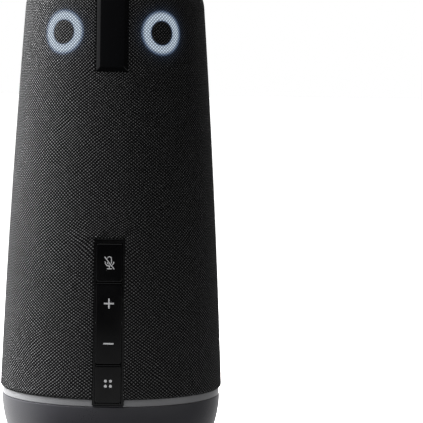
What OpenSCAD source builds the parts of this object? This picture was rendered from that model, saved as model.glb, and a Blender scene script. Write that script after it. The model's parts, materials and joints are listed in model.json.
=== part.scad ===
// Conference speakerphone: a tall tapered tower wrapped in knitted fabric.
// It has a camera dome on top, two light rings, a strip of keys and a rounded foot.
// Millimetres. +Z is up, the front faces -Y, the origin is the centre of the foot's underside.

/* [Body] */
// Overall height, foot to top of the camera dome
total_h = 273; // [240:1:300]
// Radius of the fabric sleeve at its lower edge
body_r = 55.5; // [50:0.5:60]
// Height of the fabric's lower edge
sleeve_z = 31; // [25:0.5:40]
// Loss of radius per unit of height
taper = 0.043; // [0.02:0.001:0.08]
// Extra loss of radius with the square of the height
crown = 0.00008; // [0:0.00001:0.0002]
// Height where the side turns into the rounded shoulder
shoulder_z = 220.4; // [200:0.2:235]
// Radius of the rounded shoulder
shoulder_r = 18; // [10:0.5:24]
// Angle at which the fabric stops on the shoulder
shoulder_end = 78; // [60:1:85]
// Thickness of the fabric
fabric_t = 0.85; // [0.5:0.05:1.5]
// Depth of the plastic core's outer face under the fabric's face
core_in = 1; // [0.9:0.05:2]
// Thickness of the plastic core
core_t = 2; // [1.5:0.1:3]
// Size of the turned-in hem at the fabric's lower edge
hem = 1.3; // [0.5:0.1:2]

/* [Base] */
// Radius of the rounded side of the base, in section
bowl_arc_r = 50; // [40:1:80]
// Radius of the base at its top edge
bowl_top_r = 54.6; // [50:0.1:60]
// Height of the base's top edge
bowl_top_z = 27.3; // [20:0.1:35]
// Height where the base's side turns under
bowl_low_z = 4; // [3:0.5:8]
// Height of the base shell's lower edge
shell_z = 1.4; // [1:0.1:3]
// Radius of the base shell's lower edge
shell_low_r = 46.6; // [44:0.1:50]
// Wall of the base shell
base_wall = 2.5; // [2:0.1:4]
// Radius of the bottom plate
plate_r = 44.5; // [40:0.5:46]
// Height of the bottom plate's upper face
plate_top_z = 4; // [3:0.2:6]
// Inner and outer radius of the rubber foot ring
foot_r = [37.5, 43.5]; // [30:0.5:46]
// Height of the rubber foot ring
foot_h = 2; // [1.5:0.1:4]
// Distance of the base screws from the centre
boss_ring_r = 33; // [30:0.5:35]
// Distance from the centre of the screws that hold the tower on the base
tower_ring_r = 43.5; // [43:0.1:45]
// Radius of the screw posts
boss_r = 3.2; // [2.5:0.1:4]
// Radius of the holes the long screws pass through
screw_hole_r = 1.6; // [1.3:0.1:2]
// Radius of the long screws
screw_r = 1.3; // [1:0.1:1.5]
// Radius of the ballast disc
ballast_r = 38.5; // [30:0.5:39]
// Thickness of the ballast disc
ballast_t = 14; // [3:0.5:16]
// Thread bore radius of the stand socket
stand_bore_r = 2.6; // [2.5:0.05:3.2]
// Depth of the thread bore
stand_bore_l = 8.5; // [6:0.5:10]
// Outer radius of the stand socket
stand_r = 5.5; // [4:0.5:8]

/* [Ports] */
// Width and height of the port bay at the back of the base
bay = [38, 13]; // [20:1:50]
// Height of the ports' centre line
port_z = 14; // [12:0.5:20]
// Distance of the port plate's outer face behind the centre
port_plate_y = 37.2; // [34:0.2:42]
// Sideways position of the USB socket
usb_x = -9; // [-14:0.5:-6]
// Opening of the USB socket
usb_mouth = [8.94, 3.26]; // [3:0.01:10]
// Sideways position of the power socket
jack_x = 8; // [6:0.5:14]
// Bore radius of the power socket
jack_bore_r = 3; // [2.5:0.05:3.5]
// Radius of the power socket's centre pin
jack_pin_r = 1.05; // [0.8:0.05:1.3]

/* [Trim] */
// Outer radius of the grey trim ring
trim_r = 54.3; // [50:0.1:56]
// Inner radius of the trim ring
trim_in_r = 49.2; // [46:0.1:52]
// Half width of the bar above the keys
bar_half_w = 7.5; // [5:0.1:10]
// Half width of the bar's raised middle
bar_face_half_w = 5.6; // [4:0.1:9]
// Height of the bar's lower end
bar_z = 188.2; // [170:0.1:210]
// How far the bar stands proud of the fabric
bar_proud = 1.1; // [0.5:0.1:2]
// Depth of the bar and the rear strip into the core
bar_in = 2.2; // [1.5:0.1:2.8]
// Half width of the strip down the back
rear_half_w = 6; // [4:0.5:10]

/* [Keys] */
// Heights of the key strip's lower and upper ends
strip_span = [28.4, 107.3]; // [20:0.1:120]
// Width of the key strip
strip_w = 15.4; // [12:0.1:20]
// Width of the keys
key_w = 12.4; // [10:0.1:16]
// Heights of the mute key's lower and upper edges
mute_span = [87.5, 105.8]; // [80:0.1:106]
// Heights of the volume rocker's lower and upper edges
volume_span = [48.1, 87]; // [40:0.1:90]
// Heights of the menu key's lower and upper edges
menu_span = [29.4, 47.7]; // [28:0.1:50]
// How far the keys stand proud of the fabric line
key_proud = 0.4; // [0:0.1:1]
// Travel of the mute and menu keys
key_travel = 0.6; // [0.3:0.1:1]
// Corner radius of the keys
key_corner_r = 0.9; // [0.5:0.1:2]
// Gap between a key and the edge of its window
key_gap = 0.2; // [0.15:0.05:0.4]
// Distance of the volume contacts from the rocker's pin
rocker_arm = 14; // [10:0.5:17]
// Heights of the icons: mute, plus, minus, dots
icon_z = [96.6, 77.2, 58, 38.9]; // [28:0.1:106]
// Depth of the inlaid icons
icon_depth = 0.5; // [0.2:0.1:1]

/* [Light rings] */
// Turn of each light ring from the front
eye_az = 31.5; // [25:0.5:40]
// Height of the light rings
eye_z = 206.9; // [190:0.1:215]
// Inner and outer radius of the lit ring
eye_r = [6, 10.8]; // [4:0.1:14]
// Depth of the reflector cup
cup_depth = 11; // [8:0.5:14]

/* [Speakers] */
// Height of the three speakers
speaker_z = 150; // [140:1:160]
// Radius of the round opening in the speaker's frame
frame_hole_r = 17.8; // [15:0.1:20]
// Outer radius of the cone
cone_r = 15.5; // [12:0.1:17]
// Radius of the magnet
magnet_r = 15; // [12:0.5:17]
// Depth of the motor's back face under the fabric's face
motor_depth = 28; // [24:0.5:30]

/* [Camera] */
// Radius of the top cap's rim
cap_r = 29.6; // [28:0.1:32]
// Radius of the glass dome
dome_r = 10.8; // [8:0.1:12]
// Thickness of the glass dome
dome_t = 2.2; // [1:0.1:3]
// Outer radius of the lens barrel
barrel_r = 9.6; // [8:0.1:10]
// Bore of the lens barrel
barrel_bore_r = 7.6; // [6:0.1:9]
// Side of the square sensor board
sensor_side = 26; // [20:1:30]

/* [Electronics] */
// Width of the main board
board_w = 60; // [50:1:64]
// Heights of the main board's lower and upper edges
board_span = [36, 118]; // [34:1:120]
// Distance of the main board's front face behind the centre
board_y = 12; // [8:0.5:16]
// Thickness of the circuit boards
pcb_t = 1.6; // [1:0.1:2]
// Sideways position of the board's screws
board_screw_x = 27; // [24:0.5:28]
// Heights of the board's screws
board_screw_z = [45, 105]; // [40:1:110]

/* [Show] */
// Piece to draw, or all

/* [Hidden] */
$fn = 96;
eps = 0.01;
side_steps = 10;
shoulder_steps = 12;
bowl_steps = 10;
speaker_az = [0, 120, 240];
core_back = core_in + core_t;
side_lean = atan(taper + 2 * crown * (shoulder_z - sleeve_z));
shoulder_c = [side_r(shoulder_z) - shoulder_r * cos(side_lean), shoulder_z - shoulder_r * sin(side_lean)];
flange_z = 31.3;
flange_top_z = 33.7;
flange_in_r = 40;
spigot_r = [46, 49];
spigot_top_z = 31.2;
deck_r = [41, 53];
deck_t = 2.5;
shelf_z = 227.5;
bracket_z = 229.5;
bracket_t = 2;
bracket_r = 32;
neck_top_z = 258;
neck_top_r = 14;
cap_bosses_r = 23;
cap_boss_r = 2.6;
sensor_z = 236.8;
sensor_top_z = 238;
sensor_screw_x = 10.5;
barrel_top_z = 258.8;
cap_arc_c = [25.89, 248.3];
cap_arc_r = 10;
cap_steps = 8;
mic_board_z = 233.7;
mic_ring_r = 26;
mic_count = 8;
strip_mid = (strip_span[0] + strip_span[1]) / 2;
strip_len = (strip_span[1] - strip_span[0]) / cos(side_tilt(strip_mid));
face_r = side_r(strip_mid) + key_proud;
cap_back = -4.2;
ledge_z = -4.1;
skirt_back = -5.2;
pin_depth = -3;
pin_r = 0.75;
plunger_r = 2;
plunger_back = -7;
bezel_front = -0.9;
bezel_back = -8.4;
key_board_front = -9.2;
key_board_t = 1.2;
key_screw_x = 9.1;
key_screw_y = [-30, 0, 30];
plate_screw_x = 15.6;
bay_wall = 1.5;
port_board_y = 24;
boss_turns = [45, 135, 225, 315];

// Radius of the fabric's face at a height on the straight side.
function side_r(z) = body_r - taper * (z - sleeve_z) - crown * pow(z - sleeve_z, 2);
// Lean of the side at a height.
function side_tilt(z) = atan(taper + 2 * crown * (z - sleeve_z));
// One point of a layer that lies a given depth under the fabric's face.
function wall_point(z, depth) = [side_r(z) - depth / cos(side_tilt(z)), z];
function shoulder_point(a, depth) = shoulder_c + (shoulder_r - depth) * [cos(a), sin(a)];
// Section line of such a layer, from the turned-in hem up to the cap.
function layer(depth) = concat(
  [[side_r(sleeve_z) - hem - depth * sqrt(2), sleeve_z],
   [side_r(sleeve_z + hem) - depth, sleeve_z + hem + depth * tan(22.5)]],
  [for (k = [1:side_steps - 1]) wall_point(sleeve_z + (shoulder_z - sleeve_z) * k / side_steps, depth)],
  [for (k = [0:shoulder_steps])
    shoulder_point(side_lean + (shoulder_end - side_lean) * k / shoulder_steps, depth)]);
function reverse(list) = [for (k = [len(list) - 1:-1:0]) list[k]];
// Radius of the base's rounded side at a height, and the line of a layer in it.
function bowl_r(z, depth) = bowl_top_r - bowl_arc_r
  + sqrt(pow(bowl_arc_r - depth, 2) - pow(bowl_top_z - z, 2));
function bowl_layer(depth, low_z, high_z) = [for (k = [0:bowl_steps])
  [bowl_r(low_z + (high_z - low_z) * k / bowl_steps, depth), low_z + (high_z - low_z) * k / bowl_steps]];
// Position along the key strip of a height on the front.
function strip_y(z) = (z - strip_mid) / cos(side_tilt(strip_mid));

// Frame on the side of the tower: X to the right, Y up the side, Z out of it.
module at_side(az, z) {
  rotate([0, 0, az])
    translate([0, -side_r(z), z])
      rotate([90 - side_tilt(z), 0, 0])
        children();
}

module at_strip() {
  at_side(0, strip_mid) children();
}

// A block centred in X and Y, between two levels in Z.
module slab(w, h, low, high) {
  translate([-w / 2, -h / 2, low])
    cube([w, h, high - low]);
}

// A round piece between two levels.
module disc(r, low, high) {
  translate([0, 0, low])
    cylinder(r = r, h = high - low);
}

module tube(r_out, r_in, low, high) {
  difference() {
    disc(r_out, low, high);
    disc(r_in, low - 1, high + 1);
  }
}

// Solid of everything deeper than a layer.
module inside(depth) {
  rotate_extrude()
    polygon(concat([[0, sleeve_z]], layer(depth), [[0, shoulder_point(shoulder_end, depth)[1]]]));
}

// Shell between two layers.
module shell(outer, inner) {
  rotate_extrude()
    polygon(concat(layer(outer), reverse(layer(inner))));
}

module rounded(w, h, r) {
  square([w, h - 2 * r], center = true);
  square([w - 2 * r, h], center = true);
  for (x = [-1, 1])
    for (y = [-1, 1])
      translate([x * (w / 2 - r), y * (h / 2 - r)])
        circle(r = r);
}

module at_bosses() {
  for (a = boss_turns)
    rotate([0, 0, a])
      translate([boss_ring_r, 0, 0])
        children();
}

module at_key_screws() {
  for (x = [-1, 1])
    for (y = key_screw_y)
      translate([x * key_screw_x, y, 0])
        children();
}

module at_sensor_screws() {
  for (x = [-1, 1])
    for (y = [-1, 1])
      translate([x * sensor_screw_x, y * sensor_screw_x, 0])
        children();
}

module at_board_screws() {
  for (x = [-1, 1])
    for (z = board_screw_z)
      translate([x * board_screw_x, 0, z])
        rotate([-90, 0, 0])
          children();
}

// ---- base ----

module rubber_foot() {
  color([0.05, 0.05, 0.055])
    rotate_extrude()
      polygon([[foot_r[0] + 0.6, 0], [foot_r[1] - 0.6, 0], [foot_r[1], 0.6], [foot_r[1], foot_h],
        [foot_r[0], foot_h], [foot_r[0], 0.6]]);
}

module bottom_plate() {
  color([0.1, 0.1, 0.11])
    difference() {
      disc(plate_r, shell_z, plate_top_z);
      tube(foot_r[1] + 0.1, foot_r[0] - 0.1, shell_z - 1, foot_h);
      disc(stand_r + 0.1, 0, plate_top_z + 1);
      at_bosses() disc(screw_hole_r, 0, plate_top_z + 1);
      at_bosses() disc(3, 0, shell_z + 1);
    }
}

module tripod_insert() {
  color([0.75, 0.6, 0.3])
    difference() {
      union() {
        disc(stand_r, shell_z, shell_z + stand_bore_l + 1.5);
        disc(stand_r + 2, plate_top_z, plate_top_z + 1.4);
      }
      disc(stand_bore_r, shell_z - 1, shell_z + stand_bore_l);
    }
}

module ballast_plate() {
  color([0.35, 0.36, 0.38])
    difference() {
      disc(ballast_r, plate_top_z + 0.1, plate_top_z + 0.1 + ballast_t);
      disc(stand_r + 2.3, 0, 40);
      at_bosses() disc(boss_r + 0.3, 0, 40);
      translate([-bay[0] / 2 - 3, 22, 0]) cube([bay[0] + 6, 40, 40]);
    }
}

module base_shell() {
  color([0.27, 0.27, 0.29])
    difference() {
      union() {
        rotate_extrude()
          polygon(concat([[shell_low_r, shell_z]], bowl_layer(0, bowl_low_z, bowl_top_z),
            reverse(bowl_layer(base_wall, bowl_low_z, bowl_top_z)), [[plate_r + 0.1, shell_z]]));
        tube(deck_r[1], deck_r[0], bowl_top_z - deck_t, bowl_top_z);
        difference() {
          tube(spigot_r[1], spigot_r[0], bowl_top_z - 1, spigot_top_z);
          translate([-11.5, -60, 20]) cube([23, 30, 20]);
        }
        at_bosses() disc(boss_r, plate_top_z, bowl_top_z);
        at_bosses() translate([0, -4, bowl_top_z - deck_t]) cube([12, 8, deck_t]);
        // Walls round the port bay.
        intersection() {
          translate([-bay[0] / 2 - bay_wall, port_plate_y - 1.4, port_z - bay[1] / 2 - bay_wall])
            cube([bay[0] + 2 * bay_wall, 20, bay[1] + 2 * bay_wall]);
          rotate_extrude()
            polygon(concat([[0, bowl_low_z]], bowl_layer(1, bowl_low_z, bowl_top_z), [[0, bowl_top_z]]));
        }
      }
      translate([-bay[0] / 2, port_plate_y - 5, port_z - bay[1] / 2])
        cube([bay[0], 40, bay[1]]);
      at_bosses() disc(screw_r + 0.05, 0, bowl_top_z - deck_t);
      at_tower_screws() disc(screw_hole_r, 0, bowl_top_z + 1);
    }
}

module base_screws() {
  color([0.12, 0.12, 0.13])
    at_bosses() {
      disc(screw_r, shell_z + 1, plate_top_z + 8);
      difference() {
        disc(2.7, shell_z + 0.2, shell_z + 1);
        for (a = [45, 135])
          rotate([0, 0, a]) slab(2.6, 0.6, 0, shell_z + 0.7);
      }
    }
}

// Plate at the back of the port bay, with an opening for each socket.
module port_plate() {
  color([0.08, 0.08, 0.09])
    difference() {
      translate([-bay[0] / 2 + 0.1, port_plate_y - 1.2, port_z - bay[1] / 2 + 0.1])
        cube([bay[0] - 0.2, 1.2, bay[1] - 0.2]);
      at_port(usb_x) linear_extrude(40, center = true) rounded(usb_mouth[0] + 1, usb_mouth[1] + 1, 1.9);
      at_port(jack_x) disc(jack_bore_r + 1.2, -40, 40);
    }
}

// Frame of a socket: Z out of the port, towards +Y.
module at_port(x) {
  translate([x, port_plate_y, port_z])
    rotate([-90, 0, 0])
      children();
}

module port_board() {
  color([0.05, 0.25, 0.12])
    translate([-17, port_board_y, 4.8])
      cube([34, pcb_t, 17]);
}

module usb_socket() {
  color([0.6, 0.61, 0.63]) {
    at_port(usb_x)
      difference() {
        translate([0, 0, -9]) linear_extrude(8.8) rounded(usb_mouth[0] + 0.6, usb_mouth[1] + 0.6, 1.9);
        translate([0, 0, -8.4]) linear_extrude(9) rounded(usb_mouth[0], usb_mouth[1], 1.6);
      }
    at_port(usb_x) slab(6.7, 0.7, -8.5, -1);
    translate([usb_x - 3, port_board_y + pcb_t, port_z - 2])
      cube([6, port_plate_y - 9 - port_board_y - pcb_t, 4]);
  }
}

module power_jack() {
  color([0.06, 0.06, 0.065]) {
    at_port(jack_x)
      difference() {
        union() {
          disc(jack_bore_r + 1.1, -3, -0.2);
          slab(9, 10, -port_plate_y + port_board_y + pcb_t, -1.3);
        }
        disc(jack_bore_r, -10, 1);
      }
    at_port(jack_x) disc(jack_pin_r, -10.5, -1.5);
  }
}

module trim_ring() {
  color([0.5, 0.5, 0.52])
    difference() {
      rotate_extrude()
        polygon([[trim_in_r, bowl_top_z + 0.1], [trim_r - 0.3, bowl_top_z + 0.1], [trim_r, bowl_top_z + 0.5],
          [trim_r, sleeve_z - 0.3], [trim_r - 0.2, sleeve_z - 0.1], [trim_in_r, sleeve_z - 0.1]]);
      translate([-strip_w / 2 - 0.3, -60, 20]) cube([strip_w + 0.6, 30, 20]);
    }
}

// ---- tower ----

module at_tower_screws() {
  for (a = boss_turns)
    rotate([0, 0, a])
      translate([tower_ring_r, 0, 0])
        children();
}

module at_eyes() {
  for (side = [-1, 1])
    at_side(side * eye_az, eye_z)
      children();
}

module core_walls() {
  shell(core_in, core_back);
  intersection() {
    tube(body_r, flange_in_r, flange_z, flange_top_z);
    inside(core_in + 0.5);
  }
  intersection() {
    tube(shoulder_r + shoulder_c[0], 29, shelf_z, bracket_z);
    inside(core_in + 0.5);
  }
  at_tower_screws() disc(3.2, flange_z, flange_top_z + 7);
  intersection() {
    for (a = speaker_az)
      at_side(a, speaker_z) {
        tube(21, frame_hole_r, -7.4, 2);
        at_plate_corners() disc(2.8, -7.4, 2);
      }
    inside(core_in + 0.5);
  }
  intersection() {
    at_board_screws() disc(3.2, board_y + 8, 60);
    inside(core_in + 0.5);
  }
}

module at_plate_corners() {
  for (x = [-1, 1])
    for (y = [-1, 1])
      translate([x * plate_screw_x, y * plate_screw_x, 0])
        children();
}

module core_openings() {
  at_strip() slab(strip_w + 0.4, strip_len + 0.4, -20, 10);
  at_strip() slab(23, strip_len + 8, -20, -4);
  translate([-bar_half_w - 0.1, -80, bar_z - 0.1]) cube([2 * bar_half_w + 0.2, 60, 60]);
  translate([-rear_half_w - 0.1, 30, sleeve_z + 2.6]) cube([2 * rear_half_w + 0.2, 60, 210]);
  at_eyes() disc(eye_r[1] + 0.6, -20, 10);
  for (a = speaker_az)
    at_side(a, speaker_z)
      intersection() {
        disc(frame_hole_r - 1.8, -8, 10);
        for (x = [-12.5:5:12.5])
          translate([x, 0, 0]) slab(2.6, 40, -9, 10);
      }
  for (a = speaker_az)
    at_side(a, speaker_z) at_plate_corners() disc(0.8, -9, -4.2);
  at_tower_screws() disc(screw_r + 0.05, flange_z - 1, flange_top_z + 5);
  at_board_screws() disc(screw_r + 0.05, board_y, board_y + 16);
}

module core_front() {
  color([0.13, 0.13, 0.14])
    difference() {
      core_walls();
      core_openings();
      translate([-80, 0, 0]) cube([160, 80, 300]);
    }
}

module core_rear() {
  color([0.13, 0.13, 0.14])
    difference() {
      core_walls();
      core_openings();
      translate([-80, -80, 0]) cube([160, 80, 300]);
    }
}

module fabric_sleeve() {
  color([0.2, 0.2, 0.21])
    difference() {
      shell(0, fabric_t);
      at_strip() slab(strip_w + 0.2, strip_len + 0.2, -20, 10);
      translate([-strip_w / 2 - 0.1, -70, 20]) cube([strip_w + 0.2, 30, 20]);
      translate([-bar_half_w - 0.1, -80, bar_z - 0.1]) cube([2 * bar_half_w + 0.2, 60, 60]);
      translate([-rear_half_w - 0.1, 30, 20]) cube([2 * rear_half_w + 0.2, 60, 240]);
    }
}

// Upright bar between the light rings, from its lower end up to the cap.
module front_bar() {
  color([0.04, 0.04, 0.045])
    difference() {
      union() {
        intersection() {
          shell(-bar_proud, bar_in);
          translate([-bar_face_half_w, -80, bar_z + 1.9]) cube([2 * bar_face_half_w, 60, 60]);
        }
        intersection() {
          shell(0, bar_in);
          translate([-bar_half_w, -80, bar_z]) cube([2 * bar_half_w, 60, 60]);
        }
      }
      disc(cap_r + 0.3, 220, 260);
    }
}

module rear_strip() {
  color([0.16, 0.16, 0.17])
    difference() {
      intersection() {
        shell(-0.3, bar_in);
        translate([-rear_half_w, 30, sleeve_z + 0.1]) cube([2 * rear_half_w, 60, 230]);
      }
      intersection() {
        shell(-1, core_back);
        translate([-80, 30, 0]) cube([160, 60, sleeve_z + 2.7]);
        shell(core_in - 0.1, core_back);
      }
      for (z = [62:4:110])
        translate([-4, 40, z]) cube([8, 30, 1.2]);
      disc(cap_r + 0.3, 220, 260);
    }
}

// ---- key strip ----

module bezel_window() {
  translate([0, (strip_y(mute_span[1]) + strip_y(menu_span[0])) / 2, 0])
    slab(key_w + 2 * key_gap, strip_y(mute_span[1]) - strip_y(menu_span[0]) + 2 * key_gap, ledge_z, 5);
  slab(14, strip_len - 1.6, -20, ledge_z);
}

module key_bezel() {
  color([0.04, 0.04, 0.045])
    at_strip()
      difference() {
        union() {
          slab(strip_w, strip_len, bezel_back, bezel_front);
          translate([0, 3.1, 0]) slab(21, strip_len - 0.6, -5.6, -4.3);
          at_key_screws() disc(1.3, key_board_front, -5);
        }
        bezel_window();
        translate([0, strip_y((volume_span[0] + volume_span[1]) / 2), pin_depth])
          rotate([0, 90, 0]) cylinder(r = pin_r + 0.01, h = 15, center = true);
        at_key_screws() disc(0.75, -20, -6);
      }
}

module key_board() {
  color([0.05, 0.25, 0.12])
    at_strip()
      difference() {
        slab(21, strip_len - 2, key_board_front - key_board_t, key_board_front);
        at_key_screws() disc(0.9, -20, 0);
      }
}

// Places the contact domes: mute, the two of the rocker, menu.
module at_domes(ys) {
  for (y = ys)
    translate([0, y, 0])
      children();
}

mute_y = (strip_y(mute_span[0]) + strip_y(mute_span[1])) / 2;
volume_y = (strip_y(volume_span[0]) + strip_y(volume_span[1])) / 2;
menu_y = (strip_y(menu_span[0]) + strip_y(menu_span[1])) / 2;

module key_pad() {
  color([0.6, 0.6, 0.6])
    at_strip()
      difference() {
        slab(14.6, strip_len - 2, key_board_front, bezel_back);
        at_domes([mute_y, volume_y - rocker_arm, volume_y + rocker_arm, menu_y]) disc(4.2, -20, 0);
      }
}

module dome() {
  translate([0, 0, key_board_front])
    rotate_extrude()
      polygon([[0, 0.4], [2.6, 0.4], [1.2, 1.3], [1.2, 1.4], [0, 1.4], [0, 2.1], [2, 2.1], [2.4, 1.7],
        [4, 0.6], [4, 0], [0, 0]]);
}

// Round top of the keys: everything behind a drum with its axis along the strip.
module key_front(depth) {
  translate([0, 0, key_proud - face_r])
    rotate([90, 0, 0])
      cylinder(r = face_r - depth, h = 120, center = true, $fn = 4 * $fn);
}

module key_body(span, skirt) {
  y = (strip_y(span[0]) + strip_y(span[1])) / 2;
  h = strip_y(span[1]) - strip_y(span[0]);
  translate([0, y, 0])
    intersection() {
      translate([0, 0, cap_back]) linear_extrude(10) rounded(key_w, h, key_corner_r);
      key_front(0);
    }
  if (skirt)
    translate([0, y, 0]) slab(13.6, h - 0.4, skirt_back, cap_back);
}

module mute_key() {
  color([0.07, 0.07, 0.075])
    at_strip()
      difference() {
        union() {
          key_body(mute_span, true);
          at_domes([mute_y]) disc(plunger_r, plunger_back, skirt_back);
        }
        translate([0, strip_y(icon_z[0]), key_proud - icon_depth]) linear_extrude(3) mute_mark();
      }
}

module mute_icon() {
  color([0.75, 0.75, 0.76])
    at_strip()
      intersection() {
        translate([0, strip_y(icon_z[0]), key_proud - icon_depth]) linear_extrude(3) mute_mark();
        key_front(0);
      }
}

// Microphone with a stroke across it.
module mute_mark() {
  difference() {
    union() {
      translate([0, 1.2])
        difference() {
          rounded(2.3, 4, 1.14);
          rounded(1.5, 3.2, 0.74);
        }
      difference() {
        translate([0, 0.6]) circle(r = 2.3);
        translate([0, 0.6]) circle(r = 1.85);
        translate([-3, 0.6]) square([6, 4]);
      }
      translate([-0.22, -2.6]) square([0.44, 1]);
      translate([-1.2, -3]) square([2.4, 0.45]);
    }
    rotate([0, 0, 38]) square([1.05, 12], center = true);
  }
  rotate([0, 0, 38]) square([0.45, 7.6], center = true);
}

module volume_rocker() {
  color([0.07, 0.07, 0.075])
    at_strip()
      difference() {
        union() {
          key_body(volume_span, false);
          at_domes([volume_y - rocker_arm, volume_y + rocker_arm]) disc(plunger_r, plunger_back, cap_back);
        }
        translate([0, volume_y, pin_depth])
          rotate([0, 90, 0]) cylinder(r = pin_r + 0.05, h = 30, center = true);
        volume_marks();
      }
}

module volume_marks() {
  translate([0, strip_y(icon_z[1]), key_proud - icon_depth])
    linear_extrude(3) {
      square([4.8, 0.72], center = true);
      square([0.72, 4.8], center = true);
    }
  translate([0, strip_y(icon_z[2]), key_proud - icon_depth])
    linear_extrude(3) square([4.9, 0.72], center = true);
}

module volume_icons() {
  color([0.75, 0.75, 0.76])
    at_strip()
      intersection() {
        volume_marks();
        key_front(0);
      }
}

module rocker_pin() {
  color([0.6, 0.6, 0.62])
    at_strip()
      translate([0, volume_y, pin_depth])
        rotate([0, 90, 0]) cylinder(r = pin_r, h = 15, center = true);
}

module menu_key() {
  color([0.07, 0.07, 0.075])
    at_strip()
      difference() {
        union() {
          key_body(menu_span, true);
          at_domes([menu_y]) disc(plunger_r, plunger_back, skirt_back);
        }
        translate([0, strip_y(icon_z[3]), key_proud - icon_depth]) linear_extrude(3) menu_mark();
      }
}

// Four dots in a square.
module menu_mark() {
  for (x = [-1, 1])
    for (y = [-1, 1])
      translate([x * 1.22, y * 1.22])
        circle(r = 0.7);
}

module menu_icon() {
  color([0.75, 0.75, 0.76])
    at_strip()
      intersection() {
        translate([0, strip_y(icon_z[3]), key_proud - icon_depth]) linear_extrude(3) menu_mark();
        key_front(0);
      }
}

module mute_dome() {
  color([0.6, 0.6, 0.6]) at_strip() at_domes([mute_y]) dome();
}

module volume_domes() {
  color([0.6, 0.6, 0.6])
    at_strip() at_domes([volume_y - rocker_arm, volume_y + rocker_arm]) dome();
}

module menu_dome() {
  color([0.6, 0.6, 0.6]) at_strip() at_domes([menu_y]) dome();
}

// ---- camera head ----

// A point on a circle around the hollow between the cap's rim and its neck.
function cap_arc(r, a) = cap_arc_c + r * [-sin(a), -cos(a)];
cap_outer = [for (k = [0:cap_steps]) cap_arc(cap_arc_r, 8 + 9 * k)];
cap_inner = [for (k = [0:cap_steps]) cap_arc(cap_arc_r + 2.2, 8 + 9 * k)];
cap_middle = [for (k = [0:cap_steps]) cap_arc(cap_arc_r + 0.5, 8 + 9 * k)];

module at_thirds(r) {
  for (a = [90, 210, 330])
    rotate([0, 0, a])
      translate([r, 0, 0])
        children();
}

module at_mics() {
  for (k = [0:mic_count - 1])
    rotate([0, 0, (k + 0.5) * 360 / mic_count])
      translate([mic_ring_r, 0, 0])
        children();
}

module top_cap() {
  color([0.03, 0.03, 0.035])
    difference() {
      union() {
        rotate_extrude()
          polygon(concat([[cap_r, 234.4], [cap_r, 236.6], [cap_r - 0.5, 237.1]],
            cap_outer, [[neck_top_r, neck_top_z], [neck_top_r - 2.2, neck_top_z]],
            reverse(cap_inner), [[cap_r - 1.7, 235.4], [cap_r - 1.7, 234.4]]));
        intersection() {
          at_thirds(cap_bosses_r) disc(cap_boss_r, bracket_z + bracket_t, 240);
          rotate_extrude()
            polygon(concat([[0, 220], [28, 220], [28, 237]], cap_middle, [[0, neck_top_z]]));
        }
      }
      at_thirds(cap_bosses_r) disc(screw_r + 0.05, 220, 236.5);
      at_mics() disc(0.6, 234, 240);
    }
}

module camera_bracket() {
  color([0.55, 0.56, 0.58])
    difference() {
      union() {
        disc(bracket_r, bracket_z, bracket_z + bracket_t);
        at_sensor_screws() disc(2, bracket_z, sensor_z);
        at_mics() translate([-5.4, 0, 0]) disc(1, bracket_z, mic_board_z);
      }
      at_sensor_screws() disc(0.8, bracket_z + bracket_t, 240);
      at_thirds(cap_bosses_r) disc(screw_hole_r, 220, 240);
      translate([-6, 13.2, 220]) cube([12, 2.6, 20]);
      translate([-bar_half_w - 0.3, -40, 220]) cube([2 * bar_half_w + 0.6, 8.8, 20]);
    }
}

module sensor_board() {
  color([0.05, 0.25, 0.12]) {
    difference() {
      slab(sensor_side, sensor_side, sensor_z, sensor_top_z);
      at_sensor_screws() disc(0.9, 230, 240);
    }
    slab(8, 8, sensor_top_z, sensor_top_z + 1.4);
  }
}

module lens_barrel() {
  color([0.06, 0.06, 0.065])
    difference() {
      union() {
        disc(barrel_r, sensor_top_z, barrel_top_z);
        slab(18, 18, sensor_top_z, sensor_top_z + 2);
      }
      disc(barrel_bore_r, 237, 260);
    }
}

module lens_elements() {
  color([0.5, 0.6, 0.65, 0.4]) {
    disc(barrel_bore_r - 0.02, 242, 243.5);
    intersection() {
      disc(barrel_bore_r - 0.02, 246, 252);
      translate([0, 0, 240]) sphere(r = 11);
    }
    intersection() {
      disc(barrel_bore_r - 0.02, 254, 262);
      translate([0, 0, 246.5]) sphere(r = 13);
    }
  }
}

module lens_dome() {
  color([0.3, 0.32, 0.35, 0.3])
    translate([0, 0, total_h - dome_r])
      difference() {
        sphere(r = dome_r);
        sphere(r = dome_r - dome_t);
        slab(40, 40, -40, -total_h + dome_r + barrel_top_z + 0.1);
      }
}

module lens_collar() {
  color([0.03, 0.03, 0.035])
    rotate_extrude()
      polygon([[dome_r + 0.3, neck_top_z], [13.6, neck_top_z], [13.6, 259.4], [12.2, 260.8],
        [dome_r + 0.5, 260.8], [dome_r + 0.3, 260.6]]);
}

module mic_board() {
  color([0.05, 0.25, 0.12])
    difference() {
      tube(27.6, 19.5, mic_board_z, mic_board_z + 1.2);
      at_thirds(cap_bosses_r) disc(cap_boss_r + 0.3, 230, 240);
      at_mics() disc(0.5, 230, 240);
    }
}

module microphones() {
  color([0.7, 0.65, 0.5])
    at_mics() slab(1.85, 2.75, mic_board_z - 1, mic_board_z);
}

// ---- light rings ----

module light_rings() {
  color([0.9, 0.93, 1])
    intersection() {
      at_eyes() tube(eye_r[1], eye_r[0], -5, 5);
      inside(core_in);
    }
}

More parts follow.
